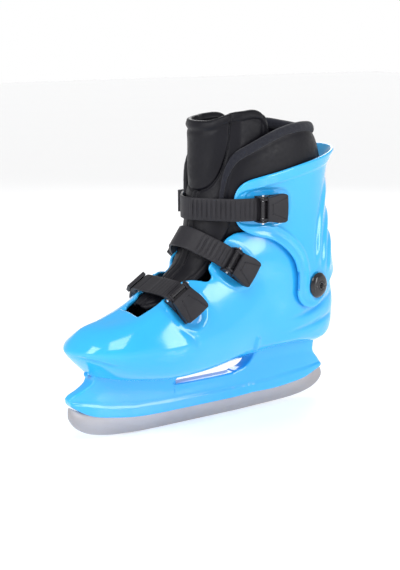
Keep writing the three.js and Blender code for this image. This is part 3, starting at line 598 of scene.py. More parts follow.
def build_runner():
    low = curve(RUNNER_EDGE, 320, 900)
    low[:, 1] = np.maximum(low[:, 1], 0)
    along = np.linspace(-140, 141, 60)
    top = np.column_stack([along, np.interp(along, [-140, -126, 126, 134, 141], [25.5, 26, 26, 28.4, 32.6])])
    loop = np.vstack([low, top])
    tangent = unit(np.roll(loop, -1, 0) - np.roll(loop, 1, 0))
    inward = np.column_stack([tangent[:, 1], -tangent[:, 0]])
    centre = loop.mean(0)
    if (inward * (centre - loop)).sum() < 0:
        inward = -inward
    half = 1.8
    rings = []
    for y, inset in ((-half, 0.35), (-half + 0.12, 0.1), (-half + 0.35, 0), (half - 0.35, 0),
                     (half - 0.12, 0.1), (half, 0.35)):
        q = loop + inward * inset
        rings.append(np.column_stack([q[:, 0], np.full(len(q), y), q[:, 1]]))
    n = len(loop)
    faces = [*grid_faces(len(rings), n, False, True)]
    sides = n - 60
    for start in (0, (len(rings) - 1) * n):
        # Each flat side is a strip between the lower edge and the top line.
        index = np.interp(np.arange(sides), [0, sides - 1], [59, 0]).round().astype(int)
        for k in range(sides - 1):
            a, b = start + k, start + k + 1
            c, d = start + sides + index[k + 1], start + sides + index[k]
            faces.append([a, b, c] if c == d else [a, b, c, d])
    make("runner_blade", world(np.vstack(rings)), faces, STEEL, "boot", ("runner",), 1e-7, 35)


# ---- The cuff ----
CUFF_RINGS = np.array([
    # height, back, front, half width
    (92, -148, 8, 46.2), (118, -147.5, 12, 46), (142, -143.5, 15, 45), (166, -138, 17, 43.6),
    (190, -134, 19, 43.4),
    (213, -132, 21, 44.6), (231, -134.5, 22, 46.6), (246, -144, 24, 50),
])
CUFF_MIDDLE = -62.0
SQUARENESS = 2.3
CUFF_LOW = [
    (-8.5, 197), (-10.5, 187), (-15, 179.5), (-22, 174.6), (-31, 171.3), (-44, 168), (-55, 162.5), (-66, 154),
    (-73.5, 144.5),
    (-77, 134), (-77, 123), (-76.8, 113), (-80, 106), (-87, 101), (-97, 99.5), (-106, 102.5), (-113, 108.5),
    (-119, 116), (-126, 122),
    (-134, 126), (-143, 128),
]
CUFF_TOP = [
    (-8.5, 197), (-9.5, 207), (-13, 214), (-20, 218.6), (-33, 221.7), (-48, 224.5), (-63, 227.5),
    (-78, 230.5), (-95, 233.5),
    (-112, 236.5), (-128, 239.5), (-141, 242),
]


def rings_at(rings, z):
    """Back, front and half width at height z, on smooth curves through the rings."""
    fine = catmull(rings, 400)
    return [np.interp(z, fine[:, 0], fine[:, k]) for k in (1, 2, 3)]


def oval_point(rings, angle, z):
    """A point of an upright tube at an angle from the front, positive to the outer side."""
    back, front, half = rings_at(rings, z)
    c, s = np.cos(angle), np.sin(angle)
    power = 2 / SQUARENESS
    reach = np.where(c > 0, front - CUFF_MIDDLE, CUFF_MIDDLE - back)
    x = CUFF_MIDDLE + reach * np.sign(c) * np.abs(c) ** power
    return np.stack([x, half * np.sign(s) * np.abs(s) ** power, z + 0 * x], -1)


def oval_angle(rings, x, z):
    """The angle at which the tube passes a place x on its outer side."""
    back, front, _ = rings_at(rings, z)
    reach = np.where(x > CUFF_MIDDLE, front - CUFF_MIDDLE, CUFF_MIDDLE - back)
    share = np.clip((x - CUFF_MIDDLE) / reach, -1, 1)
    return np.arccos(np.sign(share) * np.abs(share) ** (SQUARENESS / 2))


def oval_normal(rings, angle, z):
    step = 0.004
    around = oval_point(rings, angle + step, z) - oval_point(rings, angle - step, z)
    up = oval_point(rings, angle, z + 0.5) - oval_point(rings, angle, z - 0.5)
    return unit(np.cross(around, up))


def oval_sheet(rings, low, top, columns, rows):
    """(angle, z) of a C-shaped sheet between a lower and an upper line, given from the side as [x, z]."""
    half = columns // 2 + 1
    low, top = curve(low, half, 500), curve(top, half, 500)
    ends = []
    for line in (low, top):
        angle = oval_angle(rings, line[:, 0], line[:, 1])
        angle = np.where(np.arange(half) == half - 1, math.pi, angle)
        angle[-8:] = np.linspace(angle[-8], math.pi, 8)
        ends.append(np.column_stack([np.r_[angle, 2 * math.pi - angle[-2::-1]],
                                     np.r_[line[:, 1], line[-2::-1, 1]]]))
    t = np.linspace(0, 1, rows)[:, None]
    return [ends[0][:, k] + (ends[1][:, k] - ends[0][:, k]) * t for k in (0, 1)]


def cuff_relief(p):
    """How far the cuff's moulded details stand out, in millimetres."""
    side = p[..., [0, 2]]
    high = np.zeros(p.shape[:-1])
    top = curve(CUFF_TOP, 80)
    low = curve(CUFF_LOW, 100)
    from_top = line_distance(side, top)[0]
    from_low = line_distance(side, low)[0]
    high += 0.9 * (1 - smooth(from_top, 7.2, 9.2)) * smooth(-p[..., 0], -8, 10)
    front = smooth(-p[..., 0], 6, 30) * (1 - smooth(-p[..., 0], 92, 112))
    high += 1.1 * np.exp(-(((from_low - 10.5) / 1.7) ** 2)) * front * (p[..., 2] < 178)
    high -= 0.6 * np.exp(-(((from_low - 4.5) / 2.5) ** 2)) * front * (p[..., 2] < 175)
    dx, dz = p[..., 0] + 36, p[..., 2] - 196
    seat = (np.abs(dx / 31) ** 3.2 + np.abs(dz / 17.5) ** 3.2) ** (1 / 3.2)
    high -= 1.3 * (1 - smooth(seat, 0.86, 1.0)) * smooth(-p[..., 0], 8, 16)
    for base, tip, width in (
        ((-103, 134), (-128, 222), 3.4), ((-112, 128), (-136, 196), 3.2), ((-121, 126), (-142, 172), 3.0),
    ):
        middle = ((base[0] + tip[0]) / 2 + 5, (base[1] + tip[1]) / 2)
        flame = catmull([base, middle, tip], 40)
        d, s = line_distance(side, flame)
        high += 1.5 * np.exp(-((d / (width * (1.15 - 0.6 * s))) ** 2)) * smooth(s, 0, 0.2) * (1
            - smooth(s, 0.75, 1.0))
        d2 = line_distance(side, flame + [5.2, 2])[0]
        high -= 0.8 * np.exp(-((d2 / 2.2) ** 2)) * smooth(s, 0, 0.25) * (1 - smooth(s, 0.7, 0.95))
    ring = np.hypot(p[..., 0] + 101, p[..., 2] - 118)
    high += 0.6 * np.exp(-(((ring - 14.2) / 1.0) ** 2)) - 0.5 * (1 - smooth(ring, 12.4, 13.4))
    return high


def closed_sheet_rows(p, n, wall, rim=5):
    """A sheet with thickness whose upper and lower edges are both round; the rows close on themselves."""
    def over(edge, normal, inner_neighbour):
        away = unit(np.cross(np.gradient(edge, axis=0), normal))
        flip = np.sign((away * (edge - inner_neighbour)).sum(-1, keepdims=True))
        flip[flip == 0] = 1
        away = away * flip
        away[0], away[-1] = unit(edge[0] - edge[2]), unit(edge[-1] - edge[-3])
        return round_edge(edge, normal, away, wall, rim)

    return np.concatenate([p, over(p[-1], n[-1], p[-4]), (p - n * wall)[::-1], over(p[0], n[0], p[3])[::-1]])


def build_cuff():
    columns, rows = int(640 * HALVE), int(110 * HALVE)
    angle, z = oval_sheet(CUFF_RINGS, CUFF_LOW, CUFF_TOP, columns, rows)
    p, n = oval_point(CUFF_RINGS, angle, z), oval_normal(CUFF_RINGS, angle, z)
    relief = cuff_relief(p)
    p = p + n * relief[..., None]
    stack = closed_sheet_rows(p, n, SHELL_WALL)
    # Painted shade: the deeper a groove in the cuff's relief, the darker its blue is painted.
    painted_groove_shade = np.zeros(stack.shape[:2])
    painted_groove_shade[:len(p)] = np.clip(-relief / 3.0, 0, 1) * 0.5
    make("cuff_skin", world(stack.reshape(-1, 3)), grid_faces(*stack.shape[:2], True, False), BLUE,
         "cuff_part", ("cuff",), painted_groove_shade=painted_groove_shade)


# ---- Straps ----
STRAP_HALF = 10.0
STRAP_THICK = 2.3
STRAPS = {
    # up is the way the strap's plane climbs; ribs is the share of its length that is ribbed
    "top": {"up": (1.0, 0.0, 0.0), "ribs": (0.02, 0.52), "pitch": 4.3, "body": "cuff_part"},
    "mid": {"up": (0.8, 0.0, 0.6), "ribs": (0.02, 0.36), "pitch": 4.6, "body": "boot"},
    "low": {"up": (0.53, 0.0, 0.848), "ribs": (0.02, 0.14), "pitch": 4.6, "body": "boot"},
}


def strap_frame(name):
    """The strap's own directions: a along Y, b climbing, c across it; and its axle's centre."""
    b = Vector(STRAPS[name]["up"]).normalized()
    a = Vector((0, 1, 0))
    return [np.array(v) for v in (a, b, a.cross(b), Vector(JOINTS["lever_open_" + name]["pos_m"]))]


def face_line(node, name, across, first, last, count):
    """A solid's outer face in a strap's plane, [a, b] in metres from the axle, found with rays."""
    a, b, c, centre = strap_frame(name)
    low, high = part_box("ladder_strap_" + name)
    middle = (np.array(low) + np.array(high)) / 2
    hub = centre + a * (middle - centre).dot(a) - b * 0.012
    seen = frame["nodes"][node].evaluated_get(bpy.context.evaluated_depsgraph_get())
    found = []
    for angle in np.linspace(first, last, 1200):
        way = a * math.cos(angle) + b * math.sin(angle)
        hit, where, _, _ = seen.ray_cast(Vector(hub + way * 0.12 + c * across), Vector(-way), distance=0.119)
        if hit:
            offset = np.array(where) - centre
            found.append((offset.dot(a), offset.dot(b)))
    line = even(np.array(found), count)
    for _ in range(int((count / 40) ** 2) + 1):
        line[1:-1] = line[1:-1] * 0.5 + (line[:-2] + line[2:]) * 0.25
    return line


def plane_frame(line):
    """Unit tangents and outward normals of a line in a strap's plane."""
    tangent = unit(np.gradient(line, axis=0))
    normal = np.column_stack([tangent[:, 1], -tangent[:, 0]])
    inside = line.mean(0) - [0, 0.02]
    return tangent, normal if (normal * (line - inside)).sum() > 0 else -normal


def build_strap(name):
    a, b, c, centre = strap_frame(name)
    line = face_line("ladder_strap_" + name, name, 0.0093, -0.9, math.pi + 0.9, int(420 * HALVE))
    if line[0, 0] < line[-1, 0]:
        line = line[::-1]
    _, normal = plane_frame(line)
    steps = np.linalg.norm(np.diff(line, axis=0), axis=1)
    s = np.r_[0, np.cumsum(steps)] / MM
    total = s[-1]
    first, last = (share * total + 13 * (k == 0) for k, share in enumerate(STRAPS[name]["ribs"]))
    last = max(last, first + 9)
    inside = smooth(s, first, first + 1.5) * (1 - smooth(s, last - 1.5, last))
    phase = ((s - first) % STRAPS[name]["pitch"]) / STRAPS[name]["pitch"]
    rib = inside * (0.8 * np.minimum(smooth(phase, 0.02, 0.14), 1 - smooth(phase, 0.62, 0.9)) - 0.2)
    crease = -0.35 * np.exp(-(((s - total * 0.62) / 1.1) ** 2)) * (name != "top")
    corner = 0.55
    turn = np.linspace(0, math.pi / 2, 4)
    flat = np.linspace(-STRAP_HALF + corner, STRAP_HALF - corner, 9)
    arc = lambda x, z, start: [(x + corner * math.sin(start + t), z + corner * math.cos(start + t))
                               for t in turn]
    section = [(w, 0.0) for w in flat]
    section += arc(STRAP_HALF - corner, -corner, 0)[1:] + arc(STRAP_HALF - corner, corner - STRAP_THICK,
        math.pi / 2)
    section += [(w, -STRAP_THICK) for w in flat[::-1][1:-1]]
    section += arc(corner - STRAP_HALF, corner - STRAP_THICK, math.pi) + arc(corner - STRAP_HALF, -corner,
        1.5 * math.pi)[:-1]
    section = np.array(section)
    taper = 1 - 0.2 * (1 - smooth(s, 0, 4)) - 0.05 * smooth(s, total * 0.5, total)
    ends = np.sqrt(np.clip(np.minimum(s, total - s) / 1.2, 0.05, 1))
    on_face = section[:, 1] > -0.3
    edge = 1 - smooth(np.abs(section[:, 0]), STRAP_HALF - 2.4, STRAP_HALF - 1.2)
    rows = []
    for k in range(len(line)):
        lift = np.where(on_face, (rib[k] + crease[k]) * edge, 0)
        high = (section[:, 1] + lift + STRAP_THICK / 2) * ends[k] - STRAP_THICK / 2
        q = line[k] + np.outer(high * MM, normal[k])
        rows.append(centre + np.outer(q[:, 0], a) + np.outer(q[:, 1], b)
                    + np.outer(section[:, 0] * taper[k] * MM, c))
    rows = np.array(rows)
    n = rows.shape[1]
    faces = [*grid_faces(len(rows), n, False, True), range(n)[::-1],
             range((len(rows) - 1) * n, len(rows) * n)]
    make("strap_" + name, rows.reshape(-1, 3), faces, CHARCOAL, STRAPS[name]["body"],
         ("ladder_strap_" + name,), 1e-6, 50)


# ---- Levers ----
LEVER_NOSE = 10.9
LEVER_TAIL = 12.8
HUB_RADIUS = 2.4


def build_lever(name):
    """The plate bows with the boot beneath it; s runs from its nose to its tail and w across it."""
    a, b, c, centre = strap_frame(name)
    line = face_line("buckle_lever_" + name, name, 0.011, -1.5, 1.9, 90)
    if line[0, 1] < line[-1, 1]:
        line = line[::-1]
    _, normal = plane_frame(line)
    s = np.r_[0, np.cumsum(np.linalg.norm(np.diff(line, axis=0), axis=1))] / MM
    total = s[-1]
    tail = total - 6 * (1 - np.sin(np.linspace(0, math.pi / 2, 16)))[1:]
    places = np.r_[0, 0.12, 0.35, 0.7, 1.1, np.linspace(1.7, total - 6, 46), tail]
    q = np.sin(np.linspace(-math.pi / 2, math.pi / 2, 61))
    half = LEVER_NOSE + (LEVER_TAIL - LEVER_NOSE) * smooth(places, 0, total * 0.62)
    corner = 5.0
    into = np.clip(places - (total - corner), 0, corner)
    half = half - (corner - np.sqrt(corner**2 - into**2))
    S, Q = np.meshgrid(places, q, indexing="ij")
    W = Q * half[:, None]
    side = half[:, None] - np.abs(W)
    ends = np.minimum(S, total - S)
    drop = lambda d, r: r - np.sqrt(np.maximum(r * r - (r - np.minimum(d, r)) ** 2, 0))
    high = 0.55 * (1 - Q**2) - drop(side, 1.1) - drop(ends, 1.0)
    start, narrow = 4.5, 4.0
    marks = [[(start, -narrow), (start, narrow)], [(start, narrow), (total - 3.5, 9.6)],
             [(start, -narrow), (total - 3.5, -9.6)]]
    flat = np.stack([S, W], -1)
    for mark in marks:
        high = high - 0.55 * np.exp(-((line_distance(flat, mark)[0] / 0.42) ** 2))
    within = np.abs(W) < narrow + (S - start) * (9.6 - narrow) / (total - 3.5 - start)
    high = high - 0.25 * within * smooth(S, start - 0.2, start + 0.5)
    deep = -2.2 - 2.4 * smooth(np.abs(Q), 0.9, 0.93) - 2.2 * smooth(S, total - 2.2, total
        - 1.4) * (np.abs(Q) < 0.9)
    low = np.minimum(deep, high - 0.6)
    along = np.array([np.interp(S, s, line[:, k]) for k in (0, 1)])
    face = unit(np.stack([np.interp(S, s, normal[:, k]) for k in (0, 1)], -1))

    def layer(height):
        p = along[0] + face[..., 0] * height * MM, along[1] + face[..., 1] * height * MM
        return centre + p[0][..., None] * a + p[1][..., None] * b + (W * MM)[..., None] * c

    top, under = layer(high), layer(low)
    ring = np.concatenate([top, under[:, ::-1]], 1)
    n = ring.shape[1]
    faces = [*grid_faces(ring.shape[0], n, False, True)]
    m = len(q)
    last = (ring.shape[0] - 1) * n
    for k in range(m - 1):
        faces.append([k, k + 1, n - 2 - k, n - 1 - k])
        faces.append([last + k + 1, last + k, last + n - 1 - k, last + n - 2 - k])
    verts = [ring.reshape(-1, 3)]
    count = ring.shape[0] * n
    out = normal[0]
    ahead = np.array([-out[1], out[0]])
    if ahead.dot(line[0] - line[-1]) < 0:
        ahead = -ahead
    for sign in (1, -1):
        # A round hub on the axle, with an arm that reaches back under the plate.
        turns = np.linspace(0, 2 * math.pi, 32, endpoint=False)
        rim = []
        for t in turns:
            x, z = HUB_RADIUS * math.cos(t), HUB_RADIUS * math.sin(t)
            if x < -0.2 and z > -1.6:
                x = x * 2.6
                z = min(max(z, -1.4), 2.1)
            rim.append((x, z))
        for w, shrink in ((7.95, 0.9), (8.15, 1.0), (9.7, 1.0), (9.9, 0.9)):
            p = np.array(rim) * shrink * MM
            flatp = p[:, :1] * ahead + p[:, 1:] * out
            verts.append(centre + flatp[:, :1] * a + flatp[:, 1:] * b + sign * w * MM * c)
        faces += [*grid_faces(4, 32, False, True, count), range(count, count + 32),
                  range(count + 96, count + 128)[::-1]]
        count += 128
    make("lever_plate_" + name, np.vstack(verts), faces, CHARCOAL, "lever_" + name,
         ("buckle_lever_" + name,), 1e-6, 42)


# ---- Ankle caps ----
CAP_TILT = 0.19
CAP_SEAT = 43.2
CAP_PROFILE = [
    (0, 1.9), (2.1, 1.9), (2.3, 2.1), (2.45, 3.6), (2.8, 4.0), (3.4, 4.1), (3.9, 3.9), (4.1, 3.4),
    (4.5, 3.35), (4.8, 3.75),
    (6.2, 3.75), (8.2, 3.35), (9.4, 2.9), (10.2, 2.3), (10.9, 1.6), (11.5, 0.9), (11.8, 0.4), (11.7, 0.05),
    (11.2, -0.1),
    (4.2, -0.1), (4.0, -0.4), (4.0, -12.6), (0, -12.6),
]


def build_cap(name, side):
    turns = np.linspace(0, 2 * math.pi, 72, endpoint=False)
    centre = np.array(JOINTS["cuff_flex"]["pos_m"])
    axis = np.array([-math.sin(CAP_TILT), math.cos(CAP_TILT) * side, 0])
    x, z = unit(np.cross(axis, [0, 0, 1])), np.array([0, 0, 1.0])
    seat = centre + np.array([0, side * CAP_SEAT * MM, 0])
    rows = []
    for r, h in CAP_PROFILE:
        split = np.where((np.abs(np.sin(turns)) < 0.09) & (r > 4.9) & (r < 8.5) & (h > 3), -0.5, 0)
        radial = np.outer(np.cos(turns), x) + np.outer(np.sin(turns), z)
        if h < 0 and r <= 4.2:
            rows.append(seat + radial * r * MM + np.array([0, side * h * MM, 0]))
        else:
            rows.append(seat + radial * r * MM + np.outer((h + split) * MM, axis))
    rows = np.array(rows)
    make("ankle_cap_" + name, rows.reshape(-1, 3), grid_faces(len(rows), 72, False, True), GLOSS,
         "boot", ("ankle_bolt_" + name,), 1e-6, 40)


# ---- Padding ----
BLANK = (18, 40)


def puffed(p, n, wall, most):
    """How far cloth under pressure moves a sheet's outer face, found on a coarse blank of it."""
    rows, columns = (np.linspace(0, size - 1, few).round().astype(int) for size, few in zip(p.shape, BLANK))
    pick = np.ix_(rows, columns)
    verts, faces = sheet_solid(p[pick], n[pick], np.full(BLANK, wall))
    blank = make("blank", world(verts), faces, weld=None)
    scene = bpy.context.scene
    cloth = blank.modifiers.new("pressure", "CLOTH")
    cloth.settings.quality = 4
    cloth.settings.use_pressure = True
    cloth.settings.uniform_pressure_force = 4
    cloth.settings.effector_weights.gravity = 0
    cloth.collision_settings.use_self_collision = False
    cloth.collision_settings.use_collision = False
    cloth.point_cache.frame_start = 1
    cloth.point_cache.frame_end = 20
    for number in range(1, 21):
        scene.frame_set(number)
    seen = blank.evaluated_get(bpy.context.evaluated_depsgraph_get())
    moved = np.array([v.co for v in seen.data.vertices])
    scene.frame_set(1)
    mesh = blank.data
    bpy.data.objects.remove(blank)
    bpy.data.meshes.remove(mesh)
    shift = (moved - world(verts)) / MM
    shift -= shift.mean(0)
    long = np.linalg.norm(shift, axis=1, keepdims=True)
    shift = (shift * np.minimum(1, most / np.maximum(long, 1e-9)))[:BLANK[0] * BLANK[1]].reshape(*BLANK, 3)
    every_row, every_column = np.arange(p.shape[0]), np.arange(p.shape[1])
    tall = np.array([[np.interp(every_row, rows, shift[:, c, k]) for c in range(BLANK[1])] for k in range(3)])
    return np.array([[np.interp(every_column, columns, tall[k, :, r]) for r in every_row]
                     for k in range(3)]).transpose(1, 2, 0)


def bend_with_cuff(obj):
    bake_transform(obj)


COLLAR_RINGS = np.array([
    (150, -128, 12, 30), (175, -128.5, 13, 32.8), (195, -129, 15, 38), (215, -127.5, 17, 40),
    (235, -123.5, 18, 40.5), (252, -118, 18, 39.5), (270, -113, 17, 37.5),
])
COLLAR_LOW = [(7, 158), (-8, 154), (-30, 152), (-60, 151), (-95, 151), (-128, 151)]
COLLAR_TOP = [
    (7, 158), (6, 168), (3.5, 178), (1, 190), (0.5, 207), (-1, 222), (-4.5, 233), (-12, 242.5), (-27, 250),
    (-46, 258),
    (-64, 263.5), (-82, 266), (-98, 265.5), (-110, 263), (-118, 260.5),
]
COLLAR_WALL = 4.8


def collar_sheet(columns, rows):
    angle, z = oval_sheet(COLLAR_RINGS, COLLAR_LOW, COLLAR_TOP, columns, rows)
    return angle, z, oval_point(COLLAR_RINGS, angle, z), oval_normal(COLLAR_RINGS, angle, z)


def build_collar():
    columns, rows = int(260 * HALVE), int(56 * HALVE)
    angle, z, p, n = collar_sheet(columns, rows)
    side = p[..., [0, 2]]
    from_rim = line_distance(side, curve(COLLAR_TOP, 90))[0]
    pillow = smooth(from_rim, 5, 15) * smooth(p[..., 2], 182, 200)
    p = p + puffed(p, n, COLLAR_WALL, 1.6) * pillow[..., None]
    p = p + n * (1.3 * pillow - 0.7 * np.exp(-(((from_rim - 6.2) / 1.3) ** 2)))[..., None]
    stack = closed_sheet_rows(p, n, COLLAR_WALL, 4)
    obj = make("liner_collar_skin", world(stack.reshape(-1, 3)), grid_faces(*stack.shape[:2], True, False),
               LEATHER,
               None, ("liner_collar",))
    bend_with_cuff(obj)


def build_binding():
    """The knit band that wraps the collar's front edges and rim."""
    _, _, p, n = collar_sheet(420, 40)
    edge, normal = p[-1], n[-1]
    away = unit(edge - p[-4])
    rear = smooth(-edge[:, 0], 60, 118)
    rows = []
    turns = np.linspace(0, 2 * math.pi, 28, endpoint=False)
    wide = 4.3 + 1.2 * rear
    thick = COLLAR_WALL / 2 + 1.2 + 0.8 * rear
    ripple = 1 + 0.012 * np.sin(np.arange(len(edge)) * 0.9)
    for t in turns:
        out = np.sign(math.cos(t)) * abs(math.cos(t)) ** 0.75
        up = np.sign(math.sin(t)) * abs(math.sin(t)) ** 0.85
        rows.append(edge - normal * COLLAR_WALL / 2 - away * (wide * 0.45)[:, None]
                    + normal * (out * thick * ripple)[:, None] + away * (up * wide)[:, None])
    rows = np.array(rows)[:, 6:-6]
    m = rows.shape[1]
    faces = [*grid_faces(28, m, True, False), range(0, 28 * m, m)[::-1], range(m - 1, 28 * m, m)]
    obj = make("collar_binding", world(rows.reshape(-1, 3)), faces, KNIT)
    bend_with_cuff(obj)


LINER_EDGE = [
    (97, 101), (84, 102.5), (70, 107), (58, 114.5), (48, 121), (38, 126.5), (28, 128), (18, 128.5), (10, 139),
    (0, 151), (-10, 158), (-30, 161), (-60, 156), (-90, 149), (-114, 144), (-137, 140),
]


def build_foot_liner():
    columns, rows = int(240 * HALVE), int(60 * HALVE)
    columns -= columns % 2
    u, v = boot_grid(LINER_EDGE, columns, rows, LINER_FIRST_ROW)
    n = net_normal(u, v)
    p = net_point(u, v) - n * 4.2
    wrinkle = 0.35 * np.sin(p[..., 0] * 0.23 + p[..., 2] * 0.31) * smooth(v, 2.5, 3.5)
    p = p + n * wrinkle[..., None]
    stack = thick_rows(p, n, 5.0, 4)
    middle_low, middle_in = p[0].copy(), stack[-1].copy()
    middle_low[:, 1] = middle_in[:, 1] = middle_y(p[0][:, 0])
    stack = np.concatenate([middle_low[None], stack, middle_in[None]])
    obj = make("liner_foot_skin", world(stack.reshape(-1, 3)), grid_faces(len(stack), columns, False, True),
               KNIT,
               "boot", ("liner_foot",))


def build_insole():
    low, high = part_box("insole")
    count = 120
    u = np.linspace(0, 16, count, endpoint=False)
    v = np.full(count, 0.95)
    ring = net_point(u, v) - net_normal(u, v) * 9.6
    x = np.clip(ring[:, 0], (low.x - SHIFT[0]) / MM, (high.x - SHIFT[0]) / MM)
    ring = np.column_stack([x, ring[:, 1] * 0.88, ring[:, 2] + 1.2])
    spine = ring.copy()
    spine[:, 1] = middle_y(ring[:, 0])
    rows = []
    for share, lift in ((0, 0), (0.6, 0), (0.96, 0), (0.995, 0.5), (1, 1.6), (0.995, 2.7), (0.97, 3.3),
                        (0.93, 3.5), (0.9, 3.25),
                        (0.87, 3.5), (0.6, 3.4), (0.3, 3.2), (0, 3.2)):
        rows.append(spine + (ring - spine) * share + [0, 0, lift])
    rows = np.array(rows)
    obj = make("insole_pad", world(rows.reshape(-1, 3)), grid_faces(len(rows), count, False, True), KNIT,
               "boot", ("insole",))


# ---- The tongue ----
TONGUE_PATH = [
    # x and z of its middle, half its width, the depth of its round front, the length of its straight sides
    (71, 114, 7, 2.5, 0), (67, 115.8, 11, 3.5, 0), (60, 119.5, 15, 5, 0), (46, 127, 18, 7, 0),
    (34, 136, 19, 9, 0),
    (24, 147, 21, 14, 0), (17, 163, 23, 19, 2), (13, 182, 24, 21, 9), (9.5, 204, 26, 22, 20),
    (6.5, 230, 28, 24, 27),
    (5.5, 252, 29, 26, 29), (7, 270, 29.5, 28, 29), (8, 282, 29.5, 29, 29),
]
TONGUE_WALL = 4.3
STRIP_EDGES = (-3.8, 3.8)


def build_tongue():
    fine = catmull(TONGUE_PATH, 700)
    long = np.r_[0, np.cumsum(np.linalg.norm(np.diff(fine[:, :2], axis=0), axis=1))]
    at = lambda t: np.stack([np.interp(t, long, fine[:, k]) for k in range(5)], -1)
    height = lambda z: np.interp(z, fine[:, 1], long)
    columns, rows = int(180 * HALVE), int(190 * HALVE)
    q = np.linspace(-1, 1, columns)
    side = np.abs(q)
    corner = 1 - np.sqrt(np.clip(1 - (np.maximum(side - 0.74, 0) / 0.26) ** 2, 0, 1))
    top = 269 + np.where(q > 0, 6, 1) * smooth(side, 0.15, 0.55) - 19 * corner
    t = np.linspace(0, 1, rows)[:, None] * (height(top) - 2.0)[None, :] + 2.0
    x, z, half, deep, back = np.moveaxis(at(t), -1, 0)
    way = unit(at(t + 0.5)[..., :2] - at(t - 0.5)[..., :2])
    # Along the section: a round front, then straight sides.
    front = 0.5 * math.pi * np.sqrt((half**2 + deep**2) / 2)
    full = np.where(back > 0.5, front + back, front * 0.93)
    s = q[None, :] * full
    turn = np.clip(np.abs(s) / front, 0, 1) * math.pi / 2
    beyond = np.maximum(np.abs(s) - front, 0)
    inward = deep * (1 - np.cos(turn)) + beyond
    across = np.sign(s) * half * np.sin(turn) * (1 - 0.0022 * beyond)
    p = np.stack([x - way[..., 1] * inward, across, z + way[..., 0] * inward], -1)
    n = unit(np.cross(np.gradient(p, axis=1), np.gradient(p, axis=0)))
    if (n[..., 0] * way[..., 1]).sum() < 0:
        n = -n

    # The upper flap ends in a U-shaped seam; below it a narrow strip runs down the middle.
    seam_half = [(0, 210), (7, 211), (14, 214.5), (20, 221), (25, 230.5), (29, 243), (32.5, 257.5), (35, 279)]
    seam = catmull([(-a, b) for a, b in seam_half[::-1]] + seam_half[1:], 120)
    place = np.stack([s, z], -1)
    from_seam = line_distance(place, seam)[0]
    flap_line = np.interp(np.abs(s), [a for a, _ in seam_half], [b for _, b in seam_half])
    inside = (z > flap_line) & (np.abs(s) < 36)
    high = np.where(inside, 0.9 * smooth(from_seam, 0.2, 1.4), 0)
    high = high - 1.3 * np.exp(-((from_seam / 1.1) ** 2))
    high = high + 1.5 * smooth(from_seam, 2, 12)
    strip = np.where(z < flap_line, 1.0, 0.0) * smooth(z, 108, 116)
    for place_s in STRIP_EDGES:
        high = high - 1.2 * strip * np.exp(-(((s - place_s) / 0.9) ** 2))
    high = high + 0.4 * strip * (1 - smooth(np.abs(s), 3.0, 3.8))
    edge_gap = full - np.abs(s)
    from_top = height(top)[None, :] - t
    high = high - 0.6 * np.exp(-((from_top - 6.5) / 1.4) ** 2) - 0.5 * np.exp(-((edge_gap - 5.5) / 1.3) ** 2)
    soft = smooth(edge_gap, 2, 10) * smooth(from_top, 3, 12)
    p = p + puffed(p, n, TONGUE_WALL, 1.4) * soft[..., None] + n * high[..., None]
    roll = 1.3 * np.exp(-(((from_top - 2.6) / 2.6) ** 2))
    p = p + n * roll[..., None]
    wall = TONGUE_WALL + roll * 2.2
    verts, faces = sheet_solid(p, n, wall)
    obj = make("tongue_skin", world(verts), faces, LEATHER, None,
               ("tongue_foot", "tongue_shin"))
    bend_with_cuff(obj)

    def on_tongue(points):
        """Places on the outer face for points given as [s, z]."""
        flat = np.stack([s, z], -1).reshape(-1, 2)
        out = []
        for point in points:
            k = np.argmin(((flat - point) ** 2).sum(1))
            out.append((p.reshape(-1, 3)[k], n.reshape(-1, 3)[k]))
        return out

    lines = [even(seam, 90)[3:-3]]
    lines += [even(np.array([(place_s, 208), (place_s, 122)]), 40) for place_s in STRIP_EDGES]
    build_stitches("tongue_stitches", [on_tongue(line) for line in lines])


def sheet_solid(p, n, wall, rim=4):
    """Points and faces of an open grid given thickness, with round edges all the way round."""
    rows, columns = p.shape[:2]
    loop = [(0, c) for c in range(columns)] + [(r, columns - 1) for r in range(1, rows)]
    loop += [(rows - 1, c) for c in range(columns - 2, -1, -1)] + [(r, 0) for r in range(rows - 2, 0, -1)]
    r, c = np.array(loop).T
    inner = p - n * wall[..., None]
    edge, normal, thick = p[r, c], n[r, c], wall[r, c]
    ahead = unit(np.roll(edge, -1, 0) - np.roll(edge, 1, 0))
    away = unit(np.cross(ahead, normal))
    toward = edge - p[np.clip(r, 3, rows - 4), np.clip(c, 3, columns - 4)]
    away = away * np.sign((away * toward).sum(-1, keepdims=True) + 1e-9)
    belts = round_edge(edge, normal, away, thick[:, None], rim)
    verts = np.vstack([p.reshape(-1, 3), inner.reshape(-1, 3), *belts])
    faces = [*grid_faces(rows, columns), *grid_faces(rows, columns, start=rows * columns)[:, ::-1]]
    outer = r * columns + c
    lines = [outer] + [2 * rows * columns + k * len(loop) + np.arange(len(loop)) for k in range(rim)]
    lines.append(outer + rows * columns)
    for first, second in zip(lines[:-1], lines[1:]):
        for k in range(len(loop)):
            m = (k + 1) % len(loop)
            faces.append([first[k], first[m], second[m], second[k]])
    return verts, faces


